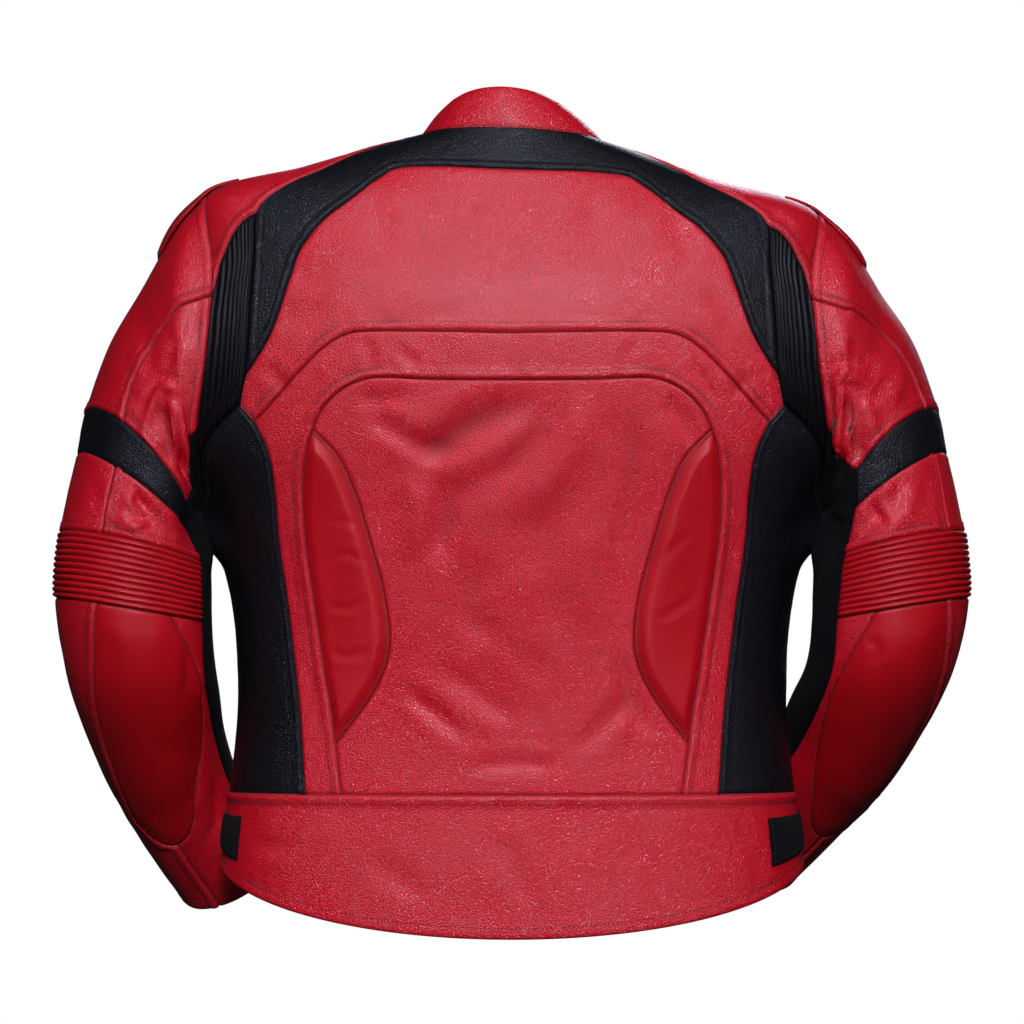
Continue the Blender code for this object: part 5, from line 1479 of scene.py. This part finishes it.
class TrunkSide:
    """The panels of one side of the trunk, and its half of the front."""

    def __init__(self, seams: TrunkSeams, side: int, tag: str) -> None:
        """Keep the seams and which side this is."""
        self.seams, self.side, self.tag = seams, side, tag

    def panel(self, name: str, bottom: Boundary, right: Boundary, top: Boundary, left: Boundary,
              finish: Any, **more: Any) -> None:
        """Build one panel of this side."""
        Panel(f"{name}_{self.tag}", TRUNK, bottom, right, top, left, finish, self.side, **more).build()

    def build(self) -> None:
        """Make the side's panels."""
        self.build_back_side()
        self.build_front()
        self.build_hem()
        self.build_piping()

    def build_back_side(self) -> None:
        """Kidney insert, side panel, shoulder-blade ribs and shoulder."""
        s, tag = self.seams, self.tag
        foot = dense([s.kidney_in[0], s.kidney_in[0] + (0.01, 0.0)])
        head = dense([s.kidney_in[-1], s.kidney_in[-1] + (0.01, 0.0)])
        self.panel("kidney_pad", [s.kidney_in], [head], [s.kidney_out], [foot], WARDROBE.red_smooth,
                   edges=hems(bottom=CLOSE, top=UNDER, left=FREE, right=FREE),
                   relief=kidney_pad, rests_on=("centre_back", "back_arch"), spacing=2.4 * MM,
                   breadth=KIDNEY_BREADTH)
        self.panel("side_panel", [s.belt_side], [s.flank],
                   [joined(s.rib_bottom, s.armhole(-50, -90))], [joined(s.side, s.tip)], WARDROBE.black,
                   edges=hems(left=TOPSTITCHED, top=TOPSTITCHED, bottom=UNDER),
                   rests_on=("back_arch",), undulation=0.7)
        self.panel("blade_accordion", [s.rib_bottom], [s.armhole(-50, SHOULDER_TIP)], [s.rib_top],
                   [joined(s.notch, s.rib_inner)], WARDROBE.ribbed, ribs=("u", RIBS_BACK),
                   rests_on=("yoke", f"side_panel_{tag}"), held="gathered", undulation=0.5)
        self.panel("shoulder_panel", [s.armhole(SHOULDER_TIP, 130)], [s.shoulder_front], [s.neck_side],
                   [joined(s.rib_top[::-1], s.shoulder)], WARDROBE.red,
                   edges=hems(left=TOPSTITCHED, right=TOPSTITCHED, top=UNDER), rests_on=("yoke",))

    def build_front(self) -> None:
        """The front panel, with its zip edge turned under and stitched."""
        s = self.seams
        left = [s.flank, s.armhole(270, 130), s.shoulder_front]
        right = [TRUNK.zip_edge(part[:, 1]) for part in left]
        self.panel("front_panel", [s.belt_front], right, [s.neck_front], left, WARDROBE.red,
                   edges=hems(right=ZIP_EDGE, top=UNDER, bottom=UNDER),
                   rests_on=(f"side_panel_{self.tag}", f"shoulder_panel_{self.tag}"), spacing=3.4 * MM)

    def build_hem(self) -> None:
        """The hem band's front, its tab of hook fabric and the zip's tape."""
        s = self.seams
        low, high = TRUNK.zip_edge(0.0), s.belt_front[-1]
        rows = np.linspace(0, BELT, 30)
        self.panel("hem_front", [dense([(FRONT_SEAM_ANGLE, 0), low])], [TRUNK.zip_edge(rows)],
                   [dense([(FRONT_SEAM_ANGLE, BELT), high])], [upwards(FRONT_SEAM_ANGLE, 0, BELT)],
                   WARDROBE.red, edges=hems(top=TOPSTITCHED, bottom=TURNED, right=ZIP_EDGE),
                   rests_on=("hem_back",))
        whole = np.concatenate([s.belt_side, s.belt_front])
        start = s.belt_side[0, 0] + (FRONT_SEAM_ANGLE - s.belt_side[0, 0]) * (0.5 if self.side < 0 else 2 / 6)
        end = FRONT_SEAM_ANGLE + (whole[-1, 0] - FRONT_SEAM_ANGLE) * 2 / 6
        low, high = TAB_ROWS
        self.panel("hem_tab", [dense([(start, low), (end, low)])], [upwards(end, low, high)],
                   [dense([(start, high), (end, high)])], [upwards(start, low, high)], WARDROBE.hook,
                   edges={e: TAB_EDGE for e in Edge}, thickness=2.5 * MM, lift=3.0 * MM,
                   rests_on=("hem_back",), spacing=2.4 * MM, undulation=0.3)
        rows = np.linspace(0, NECK, 200)
        edge, middle = TRUNK.zip_edge(rows), np.stack([0 * rows + 180, rows], axis=-1)
        self.panel("zip_tape", [dense([edge[0], middle[0]])], [middle], [dense([edge[-1], middle[-1]])],
                   [edge], WARDROBE.tape, thickness=1.5 * MM, lift=-0.3 * MM, rests_on=("hem_back",),
                   undulation=0.0, creased=False, spacing=3.0 * MM,
                   edges={e: TAPE_EDGE for e in Edge})

    def build_piping(self) -> None:
        """The black piping along the side panel's rounded seam."""
        seam = joined(self.seams.side, self.seams.tip)
        out = TRUNK.normals(seam)
        points = settled((TRUNK.points(seam) + out * 0.1 * MM) * np.array([self.side, 1, 1]))
        piece = tube(f"side_piping_{self.tag}", points[::4], 1.0 * MM, WARDROBE.material(WARDROBE.black))


def tube(name: str, points: Array, radius: float, material: bpy.types.Material) -> bpy.types.Object:
    """A round cord of leather sewn along a line."""
    curve = bpy.data.curves.new(name, "CURVE")
    curve.dimensions = "3D"
    curve.bevel_depth, curve.bevel_resolution, curve.use_fill_caps = radius, 3, True
    run = curve.splines.new("POLY")
    run.points.add(len(points) - 1)
    run.points.foreach_set("co", np.hstack([points, np.ones((len(points), 1))]).ravel())
    run.use_smooth = True
    curve.materials.append(material)
    piece = placed(name, curve)
    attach(piece, JACKET)
    return piece


class StandCollar:
    """The stand collar: one doubled wall round the neck, folded over its rim."""

    def build(self) -> None:
        """Make the collar's wall and its rim fold."""
        Panel("collar", COLLAR, [dense([(180, COLLAR_SUNK), (-180, COLLAR_SUNK)])],
              [upwards(-180, COLLAR_SUNK, COLLAR_RIM)],
              [dense([(180, COLLAR_RIM), (-180, COLLAR_RIM)])], [upwards(180, COLLAR_SUNK, COLLAR_RIM)],
              WARDROBE.red, edges=hems(bottom=CLOSE, top=RIM, left=FREE, right=FREE),
              thickness=3.0 * MM, rests_on=("yoke",), spacing=2.6 * MM, undulation=1.3).build()


# ---------------------------------------------------------------- the sleeves

class Sleeve:
    """All panels of one sleeve, from the armhole to the cuff."""

    def __init__(self, side: int, tag: str) -> None:
        """Keep which side this is and find the cap's seam."""
        self.side, self.tag, self.loft = side, tag, SLEEVES[side]
        seam = SLEEVES[-1].locate(CAP_SEAM, (40, 0.3))
        seam[0] = (SHOULDER_TIP, 0.0)
        seam[-1] = (self.high(BAND_TOP), BAND_TOP)
        self.cap_seam = dense(seam)

    @staticmethod
    def low(row: Array | float) -> Array:
        """The angle of the stretch panel's back edge at a row."""
        table = np.array(SLEEVE_SEAMS, float)
        return np.interp(row, table[:, 0], table[:, 1])

    @staticmethod
    def high(row: Array | float) -> Array:
        """The angle of the outer seam at a row."""
        table = np.array(SLEEVE_SEAMS, float)
        return np.interp(row, table[:, 0], table[:, 2])

    def line(self, angle: SeamAngle, low: float, high: float) -> Array:
        """A long seam between two rows."""
        rows = np.linspace(low, high, 60)
        return np.stack([angle(rows) + 0 * rows, rows], axis=-1)

    def ring(self, start: float, end: float, row: float) -> Array:
        """A seam round the sleeve between two angles."""
        return dense([(start, row), (end, row)])

    def front(self, rows: Array | float) -> Array:
        """The stretch panel's front edge."""
        return 0 * rows + STRETCH_FRONT

    def rib_end(self, rows: Array | float) -> Array:
        """Where the elbow ribs end on the outer side."""
        return self.high(rows) + (STRETCH_FRONT - self.high(rows)) * ACCORDION_SHARE

    def panel(self, name: str, bottom: Array, right: Array, top: Array, left: Array, finish: Any,
              **more: Any) -> None:
        """Build one panel of this sleeve."""
        more.setdefault("rests_on", (f"sleeve_cap_{self.tag}",))
        Panel(f"{name}_{self.tag}", self.loft, [bottom], [right], [top], [left], finish, self.side,
              twist=self.side, **more).build()

    def strip(self, name: str, first: float, last: float, low: SeamAngle, high: SeamAngle, finish: Any,
              **more: Any) -> None:
        """Build a panel between two rows and two long seams."""
        bottom, top = (self.ring(float(low(row)), float(high(row)), row) for row in (first, last))
        self.panel(name, bottom, self.line(high, first, last), top, self.line(low, first, last), finish,
                   **more)

    def build(self) -> None:
        """Make the sleeve's panels from the armhole down."""
        self.build_upper()
        self.build_elbow()
        self.build_forearm()

    def build_upper(self) -> None:
        """The cap, the under sleeve and the black band."""
        low, high = float(self.low(BAND_TOP)), float(self.high(BAND_TOP))
        self.panel("sleeve_under", self.ring(-30, SHOULDER_TIP, 0), self.cap_seam,
                   self.ring(low, high, BAND_TOP), self.line(self.low, 0, BAND_TOP), WARDROBE.red,
                   edges=hems(bottom=TOPSTITCHED, top=TOPSTITCHED, right=UNDER),
                   rests_on=(f"blade_accordion_{self.tag}",), spacing=2.6 * MM)
        self.panel("sleeve_cap", self.ring(SHOULDER_TIP, STRETCH_FRONT, 0),
                   self.line(self.front, 0, BAND_TOP), self.ring(high, STRETCH_FRONT, BAND_TOP),
                   self.cap_seam, WARDROBE.red,
                   edges=hems(bottom=TOPSTITCHED, top=TOPSTITCHED, left=TOPSTITCHED),
                   rests_on=(f"shoulder_panel_{self.tag}",))
        self.strip("arm_band", BAND_TOP, BAND_BOTTOM, self.low, self.front, WARDROBE.black,
                   edges=hems(top=UNDER, bottom=UNDER))

    def build_elbow(self) -> None:
        """The two panels above the elbow, the ribs and the plain bend in front of them."""
        self.strip("upper_elbow_back", BAND_BOTTOM, RIBS_TOP, self.low, self.high, WARDROBE.red,
                   edges=hems(top=TOPSTITCHED, right=TOPSTITCHED), spacing=2.6 * MM)
        self.strip("upper_elbow_front", BAND_BOTTOM, RIBS_TOP, self.high, self.front, WARDROBE.red,
                   edges=hems(top=TOPSTITCHED))
        self.strip("elbow_accordion", RIBS_TOP, RIBS_BOTTOM, self.low, self.rib_end, WARDROBE.red_smooth,
                   ribs=("v", RIBS_SLEEVE), held="gathered", undulation=0.5, spacing=PLATE_SPACING)
        self.strip("elbow_bend", RIBS_TOP, RIBS_BOTTOM, self.rib_end, self.front, WARDROBE.red)

    def build_forearm(self) -> None:
        """The padded elbow panel, the forearm's two panels and the stretch panel."""
        top = float(self.low(RIBS_BOTTOM)), float(self.high(RIBS_BOTTOM))
        start = (top[0] + (top[1] - top[0]) * INNER_SHARE, RIBS_BOTTOM)
        inner = dense([start] + [(angle, row) for row, angle in ELBOW_INNER_SEAM])
        outer = self.line(self.high, RIBS_BOTTOM, ELBOW_PANEL_END)
        foot = ELBOW_FOOT[1]
        bottom = dense([inner[-1], *ELBOW_FOOT, outer[-1]])
        middle = FINE_STEPS * 2
        cuff = np.array([(foot[0], CUFF)])
        self.panel("elbow_panel", self.ring(inner[0, 0], outer[0, 0], RIBS_BOTTOM), outer, bottom, inner,
                   WARDROBE.red_smooth, relief=elbow_pad, undulation=0.7,
                   edges=hems(bottom=UNDER))
        seam = joined(inner, bottom[:middle + 1], dense([foot, cuff[0]]))
        self.panel("forearm_inner", self.ring(float(self.low(RIBS_BOTTOM)), inner[0, 0], RIBS_BOTTOM), seam,
                   dense([(float(self.low(CUFF)), CUFF), cuff[0]]), self.line(self.low, RIBS_BOTTOM, CUFF),
                   WARDROBE.red, edges=hems(right=UNDER, top=TURNED))
        seam = joined(outer, bottom[middle:][::-1], dense([foot, cuff[0]]))
        self.panel("forearm_outer", self.ring(outer[0, 0], STRETCH_FRONT, RIBS_BOTTOM),
                   self.line(self.front, RIBS_BOTTOM, CUFF), dense([cuff[0], (STRETCH_FRONT, CUFF)]), seam,
                   WARDROBE.red, edges=hems(left=TOPSTITCHED, top=TURNED))
        self.strip("stretch_panel", 0, CUFF, self.front, lambda rows: self.low(rows) + 360,
                   WARDROBE.stretch, undulation=1.2, edges=hems(top=TURNED))


# ---------------------------------------------------------------- hard pieces

@dataclass
class ShoulderGuard:
    """The lacquered shell over a shoulder point, half on the trunk and half on the sleeve."""
    side: int
    tag: str
    rows: tuple[float, float] = (-0.40, 1.5)
    centre: float = 103.0
    half_angle: float = 25.0
    rounding: float = 0.45
    clear: float = 1.2 * MM
    thickness: float = 2.0 * MM
    rise: float = 2.5 * MM

    def build(self) -> None:
        """Make the shell as a bevelled wall."""
        rows, columns = np.linspace(*self.rows, 40), np.linspace(-1, 1, 36)
        along = (rows - rows[0]) / (rows[-1] - rows[0]) * 2 - 1
        angles = self.centre + (self.half_angle * np.sqrt(1 - self.rounding * along ** 2))[:, None] * columns
        grid = np.stack([angles, rows[:, None] + 0 * angles], axis=-1)
        height = np.outer(1 - along ** 4, 1 - columns ** 4) * self.rise + self.clear + self.thickness
        loft = GuardLoft(self.side)
        mirror = np.array([self.side, 1, 1])
        points = settled((loft.points(grid) + loft.normals(grid) * height[..., None]) * mirror)
        bm = bmesh.new()
        bmesh.ops.create_grid(bm, x_segments=35, y_segments=39, size=0.5)
        for vert in bm.verts:
            vert.co = points[round((vert.co.y + 0.5) * 39), round((vert.co.x + 0.5) * 35)]
        bm.faces.ensure_lookup_table()
        bm.normal_update()
        middle = bm.faces[len(bm.faces) // 2]
        if middle.normal.dot(middle.calc_center_median() - Vector((0.2 * self.side, 0, -0.15))) < 0:
            bmesh.ops.reverse_faces(bm, faces=bm.faces)
        mesh = mesh_of(f"shoulder_guard_{self.tag}_shell", bm)
        shade_smooth(mesh)
        mesh.materials.append(WARDROBE.material(WARDROBE.guard))
        piece = placed(mesh.name, mesh)
        wall = piece.modifiers.new("wall", "SOLIDIFY")
        wall.thickness, wall.offset = self.thickness, -1.0
        soft = piece.modifiers.new("rim", "BEVEL")
        soft.width, soft.segments, soft.angle_limit = 0.7 * MM, 3, math.radians(50)
        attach(piece, JACKET)
        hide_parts(f"shoulder_guard_{self.tag}")
        log.info("%s", piece.name)


class GuardLoft(Surface):
    """The surface that a guard lies on: the trunk above row 0 and the sleeve below it."""

    turn = -1.0

    def __init__(self, side: int) -> None:
        """Keep the sleeve of this side."""
        self.sleeve = SLEEVES[side]

    def points(self, grid: Array) -> Array:
        """Points of the trunk for rows below 0 and of the sleeve for rows above it."""
        angle, row = grid[..., 0], grid[..., 1]
        above = TRUNK.points(TRUNK.armhole(angle) - np.stack([0 * row, np.minimum(row, 0)], axis=-1))
        below = self.sleeve.points(np.stack([angle, np.maximum(row, 0)], axis=-1))
        return np.where((row < 0)[..., None], above, below)


@dataclass
class Zip:
    """The closed front zip: moulded teeth up the centre, with the slider and its pull tab."""
    tooth_pitch: float = 2.6 * MM
    tooth_size: tuple[float, float, float] = (3.4 * MM, 1.5 * MM, 1.5 * MM)

    def build(self, nodes: dict[str, bpy.types.Object]) -> None:
        """Make the teeth and dress the slider and the tab."""
        rows = np.linspace(0.02, 11.0, 600)
        line = TRUNK.points(np.stack([0 * rows + 180, rows], axis=-1))
        out = TRUNK.normals(np.stack([0 * rows + 180, rows], axis=-1))
        along = run_along(line)
        bm = bmesh.new()
        for k, at in enumerate(np.arange(1 * MM, along[-1], self.tooth_pitch)):
            here, up = at_run(at, along, line), at_run(at, along, out).normalized()
            side = 1 if k % 2 else -1
            frame = Matrix((Vector((1, 0, 0)), up, Vector((1, 0, 0)).cross(up))).transposed().to_4x4()
            size = Matrix.Diagonal((*self.tooth_size, 1))
            shift = Vector((side * 0.8 * MM, 0, 0)) + up * 0.6 * MM
            bmesh.ops.create_cube(bm, size=1.0, matrix=Matrix.Translation(here + shift) @ frame @ size)
        bmesh.ops.bevel(bm, geom=bm.edges[:], offset=0.3 * MM, offset_type="OFFSET", segments=1,
                        profile=0.5, affect="EDGES", material=-1)
        mesh = mesh_of("zip_teeth", bm)
        mesh.materials.append(WARDROBE.material(WARDROBE.metal))
        piece = placed("zip_teeth", mesh)
        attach(piece, JACKET)
        for name in ("zip_slider", "zip_pull_tab"):
            slots = nodes[name].data.materials
            slots.clear()
            slots.append(WARDROBE.material(WARDROBE.metal))
            soft = nodes[name].modifiers.new("edges", "BEVEL")
            soft.width, soft.segments, soft.angle_limit = 0.25 * MM, 2, math.radians(40)


# ---------------------------------------------------------------- studio

@dataclass
class Studio:
    """Camera, lights, white surroundings and the pale floor."""
    scale: float = 0.8 * MM
    photo_width: int = 1024
    photo_top: float = 150.0
    distance: float = 9.0
    floor_z: float = -1.5

    def build(self) -> None:
        """Set up everything that isn't the jacket."""
        self.build_camera()
        self.build_floor()
        self.build_world()
        self.spot("key_light", (-0.10, -2.0, 2.1), (0.0, 0, -0.26), 0.62, 19, 440)
        self.spot("back_light", (0.1, -3.9, 1.4), (0.0, 0, -0.34), 0.90, 11.4, 4900)
        self.spot("right_light", (2.2, -1.0, 1.1), (0.1, 0, -0.2), 0.25, 24, 12)
        self.spot("front_light", (0.5, 3.0, 0.6), (0, 0, -0.35), 0.80, 22, 220)

    def build_camera(self) -> None:
        """A long lens, level with the middle of the photo's frame."""
        data = bpy.data.cameras.new("camera")
        frame = self.photo_width * self.scale
        data.sensor_width = 36.0
        data.lens = data.sensor_width * self.distance / frame
        data.clip_end = 100.0
        camera = placed("camera", data)
        camera.location = (0, -self.distance, (self.photo_top - self.photo_width / 2) * self.scale)
        camera.rotation_euler = (math.pi / 2, 0, 0)
        bpy.context.scene.camera = camera

    def build_floor(self) -> None:
        """A round pale floor, where the wearer would stand."""
        bm = bmesh.new()
        bmesh.ops.create_circle(bm, cap_ends=True, segments=96, radius=3.0,
                                matrix=Matrix.Translation((0, 0, self.floor_z)))
        mesh = mesh_of("floor", bm)
        mesh.materials.append(GroundFinish().build())
        floor = placed("floor", mesh)
        floor.visible_diffuse = floor.visible_glossy = False

    def build_world(self) -> None:
        """White to the camera and a soft grey light on the jacket."""
        world = bpy.data.worlds.new("studio")
        world.use_nodes = True
        bpy.context.scene.world = world
        nodes, links = world.node_tree.nodes, world.node_tree.links
        back = nodes["Background"]
        seen = nodes.new("ShaderNodeBackground")
        seen.inputs["Color"].default_value = colour(1, 1, 1)
        back.inputs["Color"].default_value = colour(1, 1, 1)
        back.inputs["Strength"].default_value = 0.02
        mix, path = nodes.new("ShaderNodeMixShader"), nodes.new("ShaderNodeLightPath")
        links.new(path.outputs["Is Camera Ray"], mix.inputs[0])
        links.new(back.outputs[0], mix.inputs[1])
        links.new(seen.outputs[0], mix.inputs[2])
        links.new(mix.outputs[0], nodes["World Output"].inputs["Surface"])
        bpy.context.scene.view_settings.view_transform = "Standard"

    def spot(self, name: str, place: tuple[float, float, float], target: tuple[float, float, float],
             radius: float, cone: float, power: float) -> None:
        """A large round soft light whose cone fades towards the sleeves and misses the near floor."""
        data = bpy.data.lights.new(name, "SPOT")
        data.shadow_soft_size, data.spot_size, data.spot_blend = radius, math.radians(cone), 1.0
        data.energy, data.color = power, (0.78, 0.81, 1.0)
        lamp = placed(name, data)
        lamp.location = place
        lamp.rotation_euler = (Vector(target) - Vector(place)).to_track_quat("-Z", "Y").to_euler()


def main() -> None:
    """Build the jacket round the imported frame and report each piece."""
    logging.basicConfig(level=logging.INFO, format="%(name)s: %(message)s")
    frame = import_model()
    Studio().build()
    seams = TrunkSeams()
    Back(seams).build()
    StandCollar().build()
    for side, tag in ((-1, "left"), (1, "right")):
        TrunkSide(seams, side, tag).build()
        Sleeve(side, tag).build()
        ShoulderGuard(side, tag).build()
    Zip().build(frame["nodes"])
    SEWING.build()


if __name__ == "__main__":
    main()
